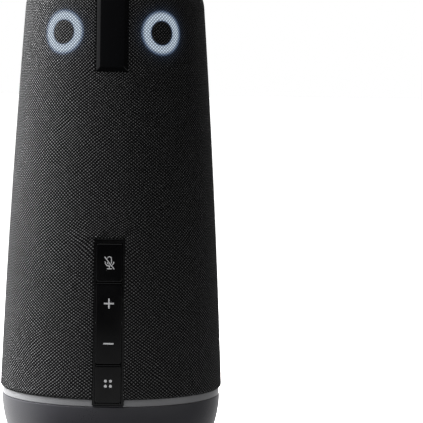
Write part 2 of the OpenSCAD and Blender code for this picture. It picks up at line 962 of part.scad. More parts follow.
module ring_cups() {
  color([0.92, 0.92, 0.92])
    intersection() {
      at_eyes()
        difference() {
          union() {
            tube(eye_r[1] + 1.4, eye_r[1] + 0.2, -cup_depth - 1.2, -core_back);
            disc(eye_r[0] - 0.3, -cup_depth - 1.2, 3);
            disc(eye_r[1] + 1.4, -cup_depth - 1.2, -cup_depth);
          }
          at_leds() disc(1.9, -20, -cup_depth + 1);
        }
      union() {
        inside(core_back + 0.05);
        at_eyes() disc(eye_r[0], -core_back - 2, 0);
      }
      inside(core_in);
    }
}

module at_leds() {
  for (k = [0:5])
    rotate([0, 0, 60 * k])
      translate([(eye_r[0] + eye_r[1]) / 2, 0, 0])
        children();
}

module ring_boards() {
  color([0.05, 0.25, 0.12])
    at_eyes() disc(eye_r[1] + 1.2, -cup_depth - 2.5, -cup_depth - 1.3);
}

module ring_leds() {
  color([0.95, 0.93, 0.8])
    at_eyes() at_leds() slab(2.2, 2.2, -cup_depth - 1.3, -cup_depth - 0.3);
}

// ---- electronics ----

module main_board() {
  color([0.05, 0.25, 0.12])
    difference() {
      translate([-board_w / 2, board_y, board_span[0]])
        cube([board_w, pcb_t, board_span[1] - board_span[0]]);
      at_board_screws() disc(screw_hole_r, 0, 40);
    }
}

module chip(x, z, w, h, t) {
  translate([x - w / 2, board_y - t, z - h / 2])
    cube([w, t, h]);
}

module board_parts() {
  color([0.07, 0.07, 0.075]) {
    chip(0, 84, 17, 17, 1.6);
    chip(-17, 92, 9, 13, 1);
    chip(-17, 76, 9, 13, 1);
    chip(16, 88, 8, 8, 1);
    chip(16, 74, 6, 6, 1.2);
    chip(-14, 54, 10, 10, 4);
    chip(0, 54, 10, 10, 4);
    chip(14, 56, 12, 7, 2.4);
    chip(0, 113, 22, 5, 3);
    chip(0, 40.5, 26, 5, 4);
    for (x = [-22, 22])
      translate([x, board_y - 8, 64])
        rotate([-90, 0, 0]) cylinder(r = 3.2, h = 8);
  }
}

module heat_sink() {
  color([0.6, 0.61, 0.63])
    difference() {
      union() {
        translate([-24, board_y + 5, 38]) cube([48, 3, 76]);
        for (z = board_screw_z)
          translate([-board_screw_x - 3.4, board_y + 5, z - 4]) cube([2 * board_screw_x + 6.8, 3, 8]);
        at_board_screws() disc(3, board_y + pcb_t, board_y + 6);
        for (x = [-21:6:21])
          translate([x - 0.8, board_y + 8, 40])
            cube([1.6, sqrt(pow(side_r(114) - 5, 2) - pow(x, 2)) - board_y - 8, 72]);
        translate([-9, board_y + pcb_t, 76]) cube([18, 4, 16]);
      }
      at_board_screws() disc(screw_hole_r, 0, 60);
    }
}

// Screws inside the tower: base joint, main board, key board, speakers, sensor board and cap.
module inner_screws() {
  color([0.3, 0.31, 0.33]) {
    at_tower_screws() {
      disc(screw_r, bowl_top_z - deck_t, flange_top_z + 4);
      disc(2.6, bowl_top_z - deck_t - 1.6, bowl_top_z - deck_t);
    }
    at_board_screws() {
      disc(screw_r, board_y, board_y + 15);
      disc(2.6, board_y - 1.6, board_y);
    }
    at_strip()
      at_key_screws() {
        disc(0.7, key_board_front - key_board_t, -6.5);
        disc(1.4, key_board_front - key_board_t - 0.8, key_board_front - key_board_t);
      }
    for (a = speaker_az)
      at_side(a, speaker_z)
        at_plate_corners() {
          disc(0.75, -9, -4.6);
          disc(1.6, -10, -9);
        }
    at_sensor_screws() {
      disc(0.75, 233, sensor_top_z);
      disc(1.4, sensor_top_z, sensor_top_z + 0.9);
    }
    at_thirds(cap_bosses_r) {
      disc(screw_r, bracket_z, 236);
      disc(2.6, bracket_z - 1.6, bracket_z);
    }
  }
}

module bulkheads() {
  color([0.2, 0.2, 0.21])
    for (z = [121, 178])
      difference() {
        disc(side_r(z + 2) - core_back - 0.2, z, z + 2);
        translate([-7, 13, z - 1]) cube([14, 3, 4]);
      }
}

// Flat cable from the sensor board down to the main board.
module camera_ribbon() {
  color([0.75, 0.45, 0.15]) {
    translate([-5, 14.3, 119.4]) cube([10, 0.3, 118.3]);
    translate([-5, 13.1, 237.3]) cube([10, 1.5, 0.4]);
    translate([-5, board_y - 1, 119.1]) cube([10, 3.6, 0.3]);
    translate([-5, board_y - 1, 115.6]) cube([10, 0.3, 3.6]);
  }
}

// ---- speakers ----

module basket(az) {
  color([0.12, 0.12, 0.13])
    at_side(az, speaker_z)
      difference() {
        union() {
          difference() {
            slab(37, 37, -9, -7.4);
            at_plate_corners() disc(0.9, -20, 0);
          }
          rotate_extrude()
            polygon([[frame_hole_r, -9], [18.4, -9], [14.3, -17], [8.2, -17], [8.2, -16.2], [13.2, -16.2],
              [17, -8.9], [frame_hole_r, -8.9]]);
        }
        disc(frame_hole_r, -9.01, 0);
        for (a = [0:60:300])
          rotate([0, 0, a + 30]) translate([15.6, 0, 0]) slab(6, 7, -15, -9.9);
      }
}

module motor(az) {
  color([0.2, 0.2, 0.21])
    at_side(az, speaker_z) {
      tube(13, 8, -19, -17);
      tube(magnet_r, 9, -25, -19);
      disc(14, -motor_depth, -25);
      disc(6.4, -25, -16.6);
    }
}

// Cone, dust cap and coil former of one speaker.
module cone(az) {
  color([0.25, 0.25, 0.26])
    at_side(az, speaker_z) {
      rotate_extrude()
        polygon([[6.9, -21], [7.4, -21], [7.4, -14.6], [cone_r, -8.7], [cone_r, -8], [7.2, -13.7],
          [6, -12.9], [4, -12.3], [0, -12], [0, -12.5], [3.9, -12.8], [5.7, -13.4], [6.9, -14.2]]);
    }
}

module suspension(az) {
  color([0.06, 0.06, 0.065])
    at_side(az, speaker_z) {
      rotate_extrude()
        polygon([[cone_r + 0.02, -8.7], [cone_r + 0.02, -8.1], [16.2, -7.5], [17, -7.5],
          [frame_hole_r - 0.05, -8.1], [frame_hole_r - 0.05, -8.7], [17, -8.1], [16.2, -8.1]]);
      tube(13.1, 7.42, -15.8, -15.4);
    }
}

module speaker_front_basket() { basket(speaker_az[0]); }
module speaker_front_motor() { motor(speaker_az[0]); }
module speaker_front_cone() { cone(speaker_az[0]); }
module speaker_front_suspension() { suspension(speaker_az[0]); }
module speaker_right_basket() { basket(speaker_az[1]); }
module speaker_right_motor() { motor(speaker_az[1]); }
module speaker_right_cone() { cone(speaker_az[1]); }
module speaker_right_suspension() { suspension(speaker_az[1]); }
module speaker_left_basket() { basket(speaker_az[2]); }
module speaker_left_motor() { motor(speaker_az[2]); }
module speaker_left_cone() { cone(speaker_az[2]); }
module speaker_left_suspension() { suspension(speaker_az[2]); }

rubber_foot();
bottom_plate();
tripod_insert();
ballast_plate();
base_shell();
base_screws();
port_plate();
port_board();
usb_socket();
power_jack();
trim_ring();
core_front();
core_rear();
fabric_sleeve();
front_bar();
rear_strip();
key_bezel();
key_board();
key_pad();
mute_key();
mute_icon();
volume_rocker();
volume_icons();
menu_key();
menu_icon();
rocker_pin();
mute_dome();
volume_domes();
menu_dome();
top_cap();
camera_bracket();
sensor_board();
lens_barrel();
lens_elements();
lens_dome();
lens_collar();
mic_board();
microphones();
light_rings();
ring_cups();
ring_boards();
ring_leds();
main_board();
board_parts();
heat_sink();
inner_screws();
bulkheads();
camera_ribbon();
speaker_front_basket();
speaker_front_motor();
speaker_front_cone();
speaker_front_suspension();
speaker_right_basket();
speaker_right_motor();
speaker_right_cone();
speaker_right_suspension();
speaker_left_basket();
speaker_left_motor();
speaker_left_cone();
speaker_left_suspension();
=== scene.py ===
"""Looks of the conference speakerphone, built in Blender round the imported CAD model.

Every CAD node keeps its place and gets a procedural material. The outer pieces that need finer
shapes are new meshes that stand for their nodes. Lengths are in millimetres until they become
points of a mesh, which are in metres. Angles round the tower start at its front.
"""

import json
import math

import bmesh
import bpy
import numpy as np
from mathutils import Matrix, Vector


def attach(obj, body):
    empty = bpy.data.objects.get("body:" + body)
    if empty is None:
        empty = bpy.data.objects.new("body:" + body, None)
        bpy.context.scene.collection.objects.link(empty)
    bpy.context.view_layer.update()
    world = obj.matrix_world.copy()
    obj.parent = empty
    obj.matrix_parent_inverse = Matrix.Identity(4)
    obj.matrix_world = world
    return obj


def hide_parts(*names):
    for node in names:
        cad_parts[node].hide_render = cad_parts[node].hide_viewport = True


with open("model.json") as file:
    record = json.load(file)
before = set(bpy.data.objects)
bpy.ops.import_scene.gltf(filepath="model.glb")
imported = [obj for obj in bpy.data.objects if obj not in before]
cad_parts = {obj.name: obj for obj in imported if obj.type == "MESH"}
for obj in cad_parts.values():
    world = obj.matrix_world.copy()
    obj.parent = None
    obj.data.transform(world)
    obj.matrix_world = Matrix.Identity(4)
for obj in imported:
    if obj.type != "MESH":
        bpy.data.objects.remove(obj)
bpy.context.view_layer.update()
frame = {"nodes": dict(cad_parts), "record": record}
nodes = frame["nodes"]

MM = 0.001
PER_METRE = 1000.0

# ---------------------------------------------------------------- the tower's shape, as in the CAD

# The side: its radius at the sleeve's lower edge, its slope, and how much it bows.
SLEEVE_Z = 31.0
SLEEVE_R = 55.5
TAPER = 0.043
CROWN = 0.00008
# The round shoulder, up to this lean in degrees, where the cap begins.
SHOULDER_Z = 220.4
SHOULDER_R = 18.0
SHOULDER_END = 78.0
SHOULDER_STEPS = 26

# The key strip, and the top of its opening in the fabric.
STRIP_HALF = 7.2
STRIP_SPAN = (28.4, 107.3)
STRIP_CUT_Z = 108.1
KEY_W = 12.4
KEY_PROUD = 0.4

# The glossy bar, the lower end of its opening in the fabric, and the strip down the back.
BAR_Z = 188.2
BAR_HALF = 7.5
BAR_FACE_HALF = 5.6
BAR_PROUD = 1.1
BAR_CUT_HALF = BAR_HALF + 0.1
BAR_CUT_Z = BAR_Z - 0.1
REAR_HALF = 6.0
REAR_CUT_HALF = REAR_HALF + 0.1
# How far the bar and the rear strip reach into the tower.
STRIP_DEEP = 2.1

# The light rings.
EYE_AZ = 31.5
EYE_Z = 206.9
EYE_IN = 6.0
EYE_OUT = 10.8

# The base: the radius that its side is rounded with, and its upper edge.
BOWL_R = 50.0
BOWL_TOP_R = 54.6
BOWL_TOP_Z = 27.3
# The outside of the trim ring that stands on the base, and the gap below it.
TRIM_R = 54.3
TRIM_GAP = 0.12


def side_r(z):
    """Radius of the tower's side at a height."""
    return SLEEVE_R - TAPER * (z - SLEEVE_Z) - CROWN * (z - SLEEVE_Z) ** 2


def lean(z):
    """Angle by which the side leans inwards at a height."""
    return math.atan(TAPER + 2 * CROWN * (z - SLEEVE_Z))


def arc_row(centre, radius, angle):
    """Row (r, z, outward r, outward z) on an arc of the tower's outer line."""
    nr, nz = math.cos(angle), math.sin(angle)
    return (centre[0] + radius * nr, centre[1] + radius * nz, nr, nz)


def side_row(z):
    """Row (r, z, outward r, outward z) on the tower's side."""
    return (side_r(z), z, math.cos(lean(z)), math.sin(lean(z)))


def shoulder_rows():
    """Rows over the shoulder, from the top of the side to the cap."""
    start = lean(SHOULDER_Z)
    end = math.radians(SHOULDER_END)
    centre = (
        side_r(SHOULDER_Z) - SHOULDER_R * math.cos(start),
        SHOULDER_Z - SHOULDER_R * math.sin(start),
    )
    return [
        arc_row(centre, SHOULDER_R, start + (end - start) * k / SHOULDER_STEPS)
        for k in range(1, SHOULDER_STEPS + 1)
    ]


def around(r, angle, z, front=1):
    """Point in metres at an angle from the front of the tower, or from its back if front is -1."""
    return (r * MM * math.sin(angle), -front * r * MM * math.cos(angle), z * MM)


def at_side(az, z):
    """Matrix of the frame on the tower's side: X right, Y up the side, Z out of it. In metres."""
    return (
        Matrix.Rotation(math.radians(az), 4, "Z")
        @ Matrix.Translation((0, -side_r(z) * MM, z * MM))
        @ Matrix.Rotation(math.pi / 2 - lean(z), 4, "X")
    )


# ---------------------------------------------------------------- meshes

CLOTH_UV = "cloth"
# Points closer than this are one point, and faces thinner than this go. In metres.
WELD_DIST = 2e-6
THIN = 1e-7
TURNED_SHARP = 40.0


def new_mesh(name, verts, faces, sharp, uv=None):
    """Mesh object from points in metres, smooth except at edges sharper than the angle given."""
    me = bpy.data.meshes.new(name)
    me.from_pydata([tuple(v) for v in verts], [], faces)
    me.update()
    if uv is not None:
        layer = me.uv_layers.new(name=CLOTH_UV)
        corners = np.empty(len(me.loops), dtype=np.int64)
        me.loops.foreach_get("vertex_index", corners)
        layer.data.foreach_set("uv", np.asarray(uv, dtype=np.float32)[corners].ravel())
    bm = bmesh.new()
    bm.from_mesh(me)
    bmesh.ops.remove_doubles(bm, verts=bm.verts, dist=WELD_DIST)
    bmesh.ops.dissolve_degenerate(bm, dist=THIN, edges=bm.edges)
    bmesh.ops.recalc_face_normals(bm, faces=bm.faces)
    bm.to_mesh(me)
    bm.free()
    me.polygons.foreach_set("use_smooth", [True] * len(me.polygons))
    me.set_sharp_from_angle(angle=math.radians(sharp))
    ob = bpy.data.objects.new(name, me)
    bpy.context.scene.collection.objects.link(ob)
    return ob


def grid_faces(rows, cols, base=0, keep=None):
    """Faces of a grid of points that starts at index base, without the cells that keep refuses."""
    out = []
    for i in range(rows - 1):
        for j in range(cols - 1):
            if keep is None or keep(i, j):
                a = base + i * cols + j
                out.append((a, a + 1, a + cols + 1, a + cols))
    return out


def ring_faces(first, second):
    """Faces between two closed rings of point indices."""
    n = len(first)
    return [
        (first[k], first[(k + 1) % n], second[(k + 1) % n], second[k])
        for k in range(n)
    ]


def revolve(name, profile, start=0.0, end=360.0, steps=192, closed=False):
    """Turns a line of (r, z) points round the Z axis, from one angle in degrees to another."""
    full = end - start == 360.0
    n = steps if full else steps + 1
    angles = [math.radians(start + (end - start) * k / steps) for k in range(n)]
    verts = [around(r, a, z) for a in angles for r, z in profile]
    m = len(profile)
    faces = []
    for k in range(n if full else n - 1):
        for j in range(m if closed else m - 1):
            here, beyond = k * m, ((k + 1) % n) * m
            up = (j + 1) % m
            faces.append((here + j, here + up, beyond + up, beyond + j))
    if not full and closed:
        faces.append(tuple(range(m)))
        faces.append(tuple(reversed(range((n - 1) * m, n * m))))
    return new_mesh(name, verts, faces, TURNED_SHARP)


def arc(cx, cz, r, a0, a1, n):
    """Points (r, z) on an arc of a profile, from one angle in degrees to another in n steps."""
    angles = [math.radians(a0 + (a1 - a0) * k / n) for k in range(n + 1)]
    return [(cx + r * math.cos(a), cz + r * math.sin(a)) for a in angles]


# ---------------------------------------------------------------- node trees

# Most of a noise texture's values lie in this range.
NOISE_SPAN = (0.3, 0.7)
UNIT = (0.0, 1.0)


class Tree:
    """A node tree being built."""

    def __init__(self, tree):
        self.t = tree
        self.t.nodes.clear()

    def link(self, source, socket):
        self.t.links.new(source, socket)

    def node(self, kind, **props):
        n = self.t.nodes.new(kind)
        for key, value in props.items():
            setattr(n, key, value)
        return n

    def fill(self, socket, value):
        """Links a socket to another one, or sets it to a number or vector."""
        if isinstance(value, bpy.types.NodeSocket):
            self.link(value, socket)
        else:
            socket.default_value = value

    def math(self, op, *values, clamp=False):
        n = self.node("ShaderNodeMath", operation=op, use_clamp=clamp)
        for socket, value in zip(n.inputs, values):
            self.fill(socket, value)
        return n.outputs[0]

    def plus(self, a, b):
        return self.math("ADD", a, b)

    def minus(self, a, b):
        return self.math("SUBTRACT", a, b)

    def times(self, a, b):
        return self.math("MULTIPLY", a, b)

    def vec(self, op, *values):
        n = self.node("ShaderNodeVectorMath", operation=op)
        for socket, value in zip(n.inputs, values):
            self.fill(socket, value)
        return n.outputs["Value" if op in ("DOT_PRODUCT", "LENGTH") else "Vector"]

    def scaled(self, vector, factor):
        n = self.node("ShaderNodeVectorMath", operation="SCALE")
        self.fill(n.inputs[0], vector)
        self.fill(n.inputs["Scale"], factor)
        return n.outputs[0]

    def map(self, value, source, target, smooth=False):
        """Maps one range of values to another, and holds it beyond the ends."""
        n = self.node("ShaderNodeMapRange")
        if smooth:
            n.interpolation_type = "SMOOTHSTEP"
        n.clamp = True
        for socket, v in zip(n.inputs, (value, *source, *target)):
            self.fill(socket, v)
        return n.outputs[0]


class Mat(Tree):
    """A node material being built."""

    def __init__(self, name, base, rough, metallic=0.0):
        self.m = bpy.data.materials.new(name)
        self.m.use_nodes = True
        super().__init__(self.m.node_tree)
        out = self.node("ShaderNodeOutputMaterial")
        self.shader = self.node("ShaderNodeBsdfPrincipled")
        self.link(self.shader.outputs[0], out.inputs[0])
        self.set(**{"Base Color": (*base, 1.0), "Roughness": rough, "Metallic": metallic})

    def set(self, **values):
        for key, value in values.items():
            self.shader.inputs[key].default_value = value

    def to(self, name, value):
        self.link(value, self.shader.inputs[name])

    def object_coords(self):
        return self.node("ShaderNodeTexCoord").outputs["Object"]

    def noise(self, at, scale, detail, rough, out="Fac"):
        n = self.node("ShaderNodeTexNoise")
        self.fill(n.inputs["Vector"], at)
        n.inputs["Scale"].default_value = scale
        n.inputs["Detail"].default_value = detail
        n.inputs["Roughness"].default_value = rough
        return n.outputs[out]

    def voronoi(self, at, scale, feature="F1"):
        n = self.node("ShaderNodeTexVoronoi", feature=feature)
        self.fill(n.inputs["Vector"], at)
        n.inputs["Scale"].default_value = scale
        return n.outputs["Distance"]

    def mix(self, factor, a, b):
        """Mixes two colours, each a socket or a tuple of red, green and blue."""
        n = self.node("ShaderNodeMix", data_type="RGBA")
        self.fill(n.inputs[0], factor)
        for socket, colour in ((n.inputs[6], a), (n.inputs[7], b)):
            self.fill(socket, colour if isinstance(colour, bpy.types.NodeSocket) else (*colour, 1.0))
        return n.outputs[2]

    def bump(self, height, depth):
        n = self.node("ShaderNodeBump")
        n.inputs["Strength"].default_value = 1.0
        n.inputs["Distance"].default_value = depth
        self.link(height, n.inputs["Height"])
        return n.outputs[0]


def shade(colour, factor):
    return tuple(c * factor for c in colour)


# ---------------------------------------------------------------- materials


def plastic(name, base, rough, grain=0.00004, pitch=0.45, spread=0.12, coat=0.0, shine=0.5):
    """Moulded plastic: fine spark-eroded grain, slight colour drift, handling marks in the gloss.

    grain is the grain's depth in metres, pitch its size in millimetres, and spread how far the
    colour drifts.
    """
    m = Mat(name, base, rough)
    at = m.object_coords()
    fine = m.noise(at, scale=PER_METRE / pitch, detail=3.0, rough=0.6)
    broad = m.noise(at, scale=35.0, detail=3.0, rough=0.55)
    drift = m.plus(m.times(fine, 0.5), m.times(broad, 0.5))
    dark, pale = shade(base, 1 - spread), shade(base, 1 + spread)
    m.to("Base Color", m.mix(m.map(drift, NOISE_SPAN, UNIT), dark, pale))
    marks = m.plus(m.times(broad, 0.6), m.times(fine, 0.4))
    m.to("Roughness", m.map(marks, NOISE_SPAN, (max(rough - 0.08, 0.02), min(rough + 0.08, 1.0))))
    m.to("Normal", m.bump(fine, grain))
    m.set(**{"Specular IOR Level": shine})
    if coat:
        m.set(**{"Coat Weight": coat, "Coat Roughness": 0.08})
    return m.m


def gloss(name, base, rough):
    """Polished plastic: almost a mirror, with faint orange peel, wiping marks and dust."""
    m = Mat(name, base, rough)
    at = m.object_coords()
    peel = m.noise(at, scale=260.0, detail=2.0, rough=0.5)
    wiped = m.noise(m.vec("MULTIPLY", at, (1.0, 1.0, 0.25)), scale=120.0, detail=4.0, rough=0.65)
    m.to("Roughness", m.map(wiped, (0.35, 0.75), (rough - 0.02, rough + 0.09)))
    dust = m.math("GREATER_THAN", m.noise(at, scale=2600.0, detail=1.0, rough=0.5), 0.76)
    m.to("Base Color", m.mix(dust, base, tuple(c * 2.5 + 0.006 for c in base)))
    m.to("Normal", m.bump(peel, 0.00001))
    return m.m


def metal(name, base, rough, brushed=1.0):
    """Metal with fine scratches, drawn out round the Z axis where it is brushed."""
    m = Mat(name, base, rough, metallic=1.0)
    at = m.object_coords()
    drawn = m.vec("MULTIPLY", at, (1.0, 1.0, brushed))
    fine = m.noise(drawn, scale=PER_METRE / 0.3, detail=3.0, rough=0.6)
    broad = m.noise(at, scale=60.0, detail=3.0, rough=0.6)
    m.to("Base Color", m.mix(m.map(broad, NOISE_SPAN, UNIT), shade(base, 0.82), base))
    m.to("Roughness", m.map(fine, NOISE_SPAN, (max(rough - 0.1, 0.05), rough + 0.12)))
    m.to("Normal", m.bump(fine, 0.00002))
    return m.m


def knit(m):
    """Pattern of the fabric: slanted pale threads that cross over dark gaps, whose darkness is
    painted shade.

    The cloth's UV map is in millimetres. The pattern wanders a little, and which of the two
    directions stands out changes slowly over the cloth.
    """
    crossings_across, crossings_up = 0.53, 0.64
    uv = m.node("ShaderNodeUVMap", uv_map=CLOTH_UV).outputs[0]
    drift = m.noise(uv, scale=0.055, detail=2.0, rough=0.5, out="Color")
    drift = m.vec("SUBTRACT", drift, (0.5, 0.5, 0.5))
    split = m.node("ShaderNodeSeparateXYZ")
    m.link(m.vec("ADD", uv, m.scaled(drift, 3.2)), split.inputs[0])
    across = m.times(split.outputs[0], 2 * math.pi * crossings_across)
    up = m.times(split.outputs[1], 2 * math.pi * crossings_up)
    rising, falling = (
        m.plus(m.times(m.math("COSINE", phase), 0.5), 0.5)
        for phase in (m.plus(across, up), m.minus(across, up))
    )
    sway = m.map(m.noise(uv, scale=0.03, detail=2.0, rough=0.6), (0.35, 0.65), (0.9, 2.3))
    rising = m.math("POWER", rising, m.minus(3.2, sway))
    falling = m.math("POWER", falling, sway)
    lattice = m.times(rising, falling)
    fuzz = m.noise(uv, scale=5.0, detail=3.0, rough=0.7)
    height = m.times(lattice, m.plus(m.times(fuzz, 0.5), 0.75))
    yarn = m.noise(m.vec("MULTIPLY", uv, (1.0, 0.22, 1.0)), scale=1.3, detail=2.0, rough=0.6)
    return lattice, height, yarn


def ring_glow(m, side):
    """Brightness of one light ring with its halo, on the cloth in front of it."""
    mat = at_side(side * EYE_AZ, EYE_Z)
    outward = tuple((mat.to_3x3() @ Vector((0, 0, 1))).normalized())
    rel = m.vec("SUBTRACT", m.object_coords(), tuple(mat.translation))
    along = m.vec("DOT_PRODUCT", rel, outward)
    across = m.vec("LENGTH", m.vec("SUBTRACT", rel, m.scaled(outward, along)))
    d = m.times(across, PER_METRE)
    ring = m.times(
        m.map(d, (EYE_IN - 0.45, EYE_IN + 0.55), UNIT, smooth=True),
        m.map(d, (EYE_OUT - 2.2, EYE_OUT + 0.7), (1.0, 0.0), smooth=True),
    )
    from_middle = m.math("ABSOLUTE", m.minus(d, 8.6))
    halo = m.times(m.math("POWER", 2.718, m.times(from_middle, -0.6)), 0.1)
    halo = m.times(halo, m.map(d, (EYE_IN - 1.5, EYE_IN + 0.6), UNIT, smooth=True))
    # Only the near side of the tower glows.
    near = m.map(along, (-0.03, -0.02), UNIT)
    return m.times(m.plus(m.times(ring, 0.55), halo), near)


def cloth_material():
    """Knitted loudspeaker fabric that the light rings shine through."""
    m = Mat("speaker_fabric", (0.03, 0.03, 0.032), 0.85)
    lattice, height, yarn = knit(m)
    thread = m.math("MULTIPLY", height, 1.0, clamp=True)
    bright = m.mix(m.map(yarn, NOISE_SPAN, UNIT), (0.25, 0.252, 0.257), (0.37, 0.372, 0.378))
    # The near-black between the threads is painted shade in the gaps.
    m.to("Base Color", m.mix(thread, (0.003, 0.003, 0.0033), bright))
    m.to("Roughness", m.map(thread, UNIT, (0.95, 0.7)))
    m.to("Normal", m.bump(height, 0.0011))
    m.set(**{"Sheen Weight": 0.03, "Sheen Roughness": 0.45, "Specular IOR Level": 0.08})
    glow = m.plus(ring_glow(m, -1), ring_glow(m, 1))
    through = m.map(lattice, (0.0, 0.55), (0.45, 1.6))
    halo_blue, ring_white = (0.3, 0.52, 1.0), (0.72, 0.85, 1.0)
    m.to("Emission Color", m.mix(m.map(glow, (0.0, 0.5), UNIT), halo_blue, ring_white))
    m.to("Emission Strength", m.times(glow, through))
    return m.m


def light_material(name, colour, strength):
    """Milky plastic that a lamp shines through, slightly uneven."""
    m = Mat(name, colour, 0.4)
    m.set(**{"Emission Color": (*colour, 1.0)})
    uneven = m.noise(m.object_coords(), scale=400.0, detail=2.0, rough=0.5)
    m.to("Emission Strength", m.map(uneven, NOISE_SPAN, (strength * 0.9, strength * 1.1)))
    return m.m


def icon_material():
    """Pale print over a window that a lamp behind it lights faintly."""
    m = Mat("icon_white", (0.7, 0.7, 0.71), 0.5)
    cloudy = m.map(m.noise(m.object_coords(), scale=900.0, detail=2.0, rough=0.5), NOISE_SPAN, UNIT)
    m.to("Base Color", m.mix(cloudy, (0.55, 0.55, 0.56), (0.63, 0.63, 0.64)))
    m.set(**{"Emission Color": (0.93, 0.97, 1.0, 1.0)})
    m.to("Emission Strength", m.map(cloudy, UNIT, (0.03, 0.05)))
    return m.m


def board_material():
    """Circuit board: solder mask with traces, pads and vias."""
    m = Mat("circuit_board", (0.01, 0.06, 0.03), 0.35)
    at = m.object_coords()
    cells = m.voronoi(m.vec("MULTIPLY", at, (1.0, 1.0, 0.8)), 420.0, "DISTANCE_TO_EDGE")
    trace = m.map(cells, (0.03, 0.06), (1.0, 0.0))
    pad = m.map(m.voronoi(at, 700.0), (0.16, 0.2), (1.0, 0.0))
    mask = m.mix(trace, (0.006, 0.045, 0.022), (0.012, 0.085, 0.04))
    m.to("Base Color", m.mix(pad, mask, (0.45, 0.36, 0.2)))
    m.to("Metallic", m.times(pad, 0.9))
    m.to("Normal", m.bump(m.plus(trace, pad), 0.00003))
    return m.m


def glass_material():
    """Smoked glass with faint smears."""
    m = Mat("lens_glass", (0.55, 0.58, 0.62), 0.03)
    at = m.object_coords()
    m.set(**{"Transmission Weight": 1.0, "IOR": 1.5, "Coat Weight": 0.6, "Coat Roughness": 0.02})
    tint = m.map(m.noise(at, scale=30.0, detail=2.0, rough=0.5), NOISE_SPAN, UNIT)
    m.to("Base Color", m.mix(tint, (0.14, 0.155, 0.18), (0.19, 0.195, 0.215)))
    smears = m.noise(at, scale=300.0, detail=3.0, rough=0.6)
    m.to("Roughness", m.map(smears, (0.4, 0.8), (0.01, 0.06)))
    return m.m


MATS = {
    "base_plastic": plastic(
        "base_plastic", (0.045, 0.0447, 0.0515), 0.32, grain=0.00006, pitch=0.5, spread=0.16
    ),
    "trim_grey": plastic(
        "trim_grey", (0.26, 0.262, 0.272), 0.34, grain=0.00002, pitch=0.4, spread=0.08, coat=0.2
    ),
    "speaker_fabric": cloth_material(),
    "gloss_black": gloss("gloss_black", (0.0035, 0.0036, 0.0041), 0.07),
    "satin_black": plastic(
        "satin_black", (0.0018, 0.0018, 0.0022), 0.16, grain=0.000006, pitch=0.4, shine=0.3
    ),
    "black_plastic": plastic("black_plastic", (0.012, 0.012, 0.013), 0.6, grain=0.00006, pitch=0.6),
    "key_black": plastic(
        "key_black", (0.0012, 0.0012, 0.0015), 0.12, grain=0.000004, pitch=0.3, shine=0.25
    ),
    "icon_white": icon_material(),
    "rubber_black": plastic("rubber_black", (0.012, 0.012, 0.013), 0.8, grain=0.00007, pitch=0.8),
    "silicone": plastic("silicone", (0.35, 0.35, 0.35), 0.55, grain=0.00003, pitch=0.5),
    "brass": metal("brass", (0.72, 0.53, 0.26), 0.28, brushed=6.0),
    "steel": metal("steel", (0.5, 0.51, 0.53), 0.32, brushed=5.0),
    "black_steel": metal("black_steel", (0.05, 0.05, 0.053), 0.42),
    "black_metal": metal("black_metal", (0.02, 0.02, 0.022), 0.4),
    "ferrite": metal("ferrite", (0.12, 0.12, 0.13), 0.55),
    "paper_cone": plastic("paper_cone", (0.03, 0.03, 0.031), 0.75, grain=0.00012, pitch=0.9),
    "aluminium": metal("aluminium", (0.62, 0.63, 0.65), 0.4),
    "circuit_board": board_material(),
    "chip_black": plastic("chip_black", (0.015, 0.015, 0.016), 0.45, grain=0.00002, pitch=0.2),
    "white_plastic": plastic("white_plastic", (0.75, 0.75, 0.75), 0.5),
    "light_guide": light_material("light_guide", (0.78, 0.88, 1.0), 1.5),
    "led": light_material("led", (0.9, 0.95, 1.0), 4.0),
    "lens_glass": glass_material(),
    "ribbon": plastic("ribbon", (0.5, 0.25, 0.07), 0.35, grain=0.00002, pitch=0.3),
}


def dress_nodes():
    """Gives every CAD node the material of its slot in the record."""
    for part in frame["record"]["subparts"]:
        nodes[part["node"]].data.materials[0] = MATS[part["material_slot"]]


def place(ob, slot, body, *replaced):
    """Gives a new piece its material and body, and the CAD node that it stands for."""
    ob.data.materials.append(MATS[slot])
    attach(ob, body)
    if replaced:
        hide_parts(*replaced)


# ---------------------------------------------------------------- fabric

HEM_R = 1.3
# Distances from a cut edge at which the cloth has columns or rows, so that its edge rolls in
# smoothly, and the first one beyond.
EDGE_STEPS = (0.0, 0.06, 0.2, 0.42, 0.7, 1.0)
EDGE_END = 2.2
# How far a cut edge is tucked in, behind its bar or strip.
TUCK = 1.1
# The radius at which the cloth's width is laid out flat.
CLOTH_R = 51.0


def rolled_in(dx, dz, radius):
    """Depth of the cloth at a distance from an opening whose edge it rolls into."""
    d = min(math.hypot(dx, dz), radius)
    return radius - math.sqrt(max(radius * radius - (radius - d) ** 2, 0.0))


def cloth_levels():
    """Heights of the cloth's rows on the side, close together at the ends of its openings."""
    levels = [SLEEVE_Z + HEM_R]
    levels += list(np.linspace(33.6, STRIP_CUT_Z - 1.2, 54))
    levels += [STRIP_CUT_Z + d for d in EDGE_STEPS]
    levels += list(np.linspace(STRIP_CUT_Z + EDGE_END, BAR_CUT_Z - EDGE_END, 60))
    levels += [BAR_CUT_Z - d for d in reversed(EDGE_STEPS)]
    levels += list(np.linspace(BAR_CUT_Z + 1.2, SHOULDER_Z, 26))
    return levels


def hem_rows():
    """Rows round the lower hem, from inside the sleeve to its outside."""
    z = SLEEVE_Z + HEM_R
    r = side_r(z) - HEM_R
    rows = [
        (r - 2.4, SLEEVE_Z + 0.25, 0.0, -1.0),
        (r - 1.2, SLEEVE_Z + 0.08, 0.0, -1.0),
    ]
    for k in range(8):
        a = math.radians(-90 + (90 + math.degrees(lean(z))) * k / 8)
        rows.append(arc_row((r, z), HEM_R, a))
    return rows


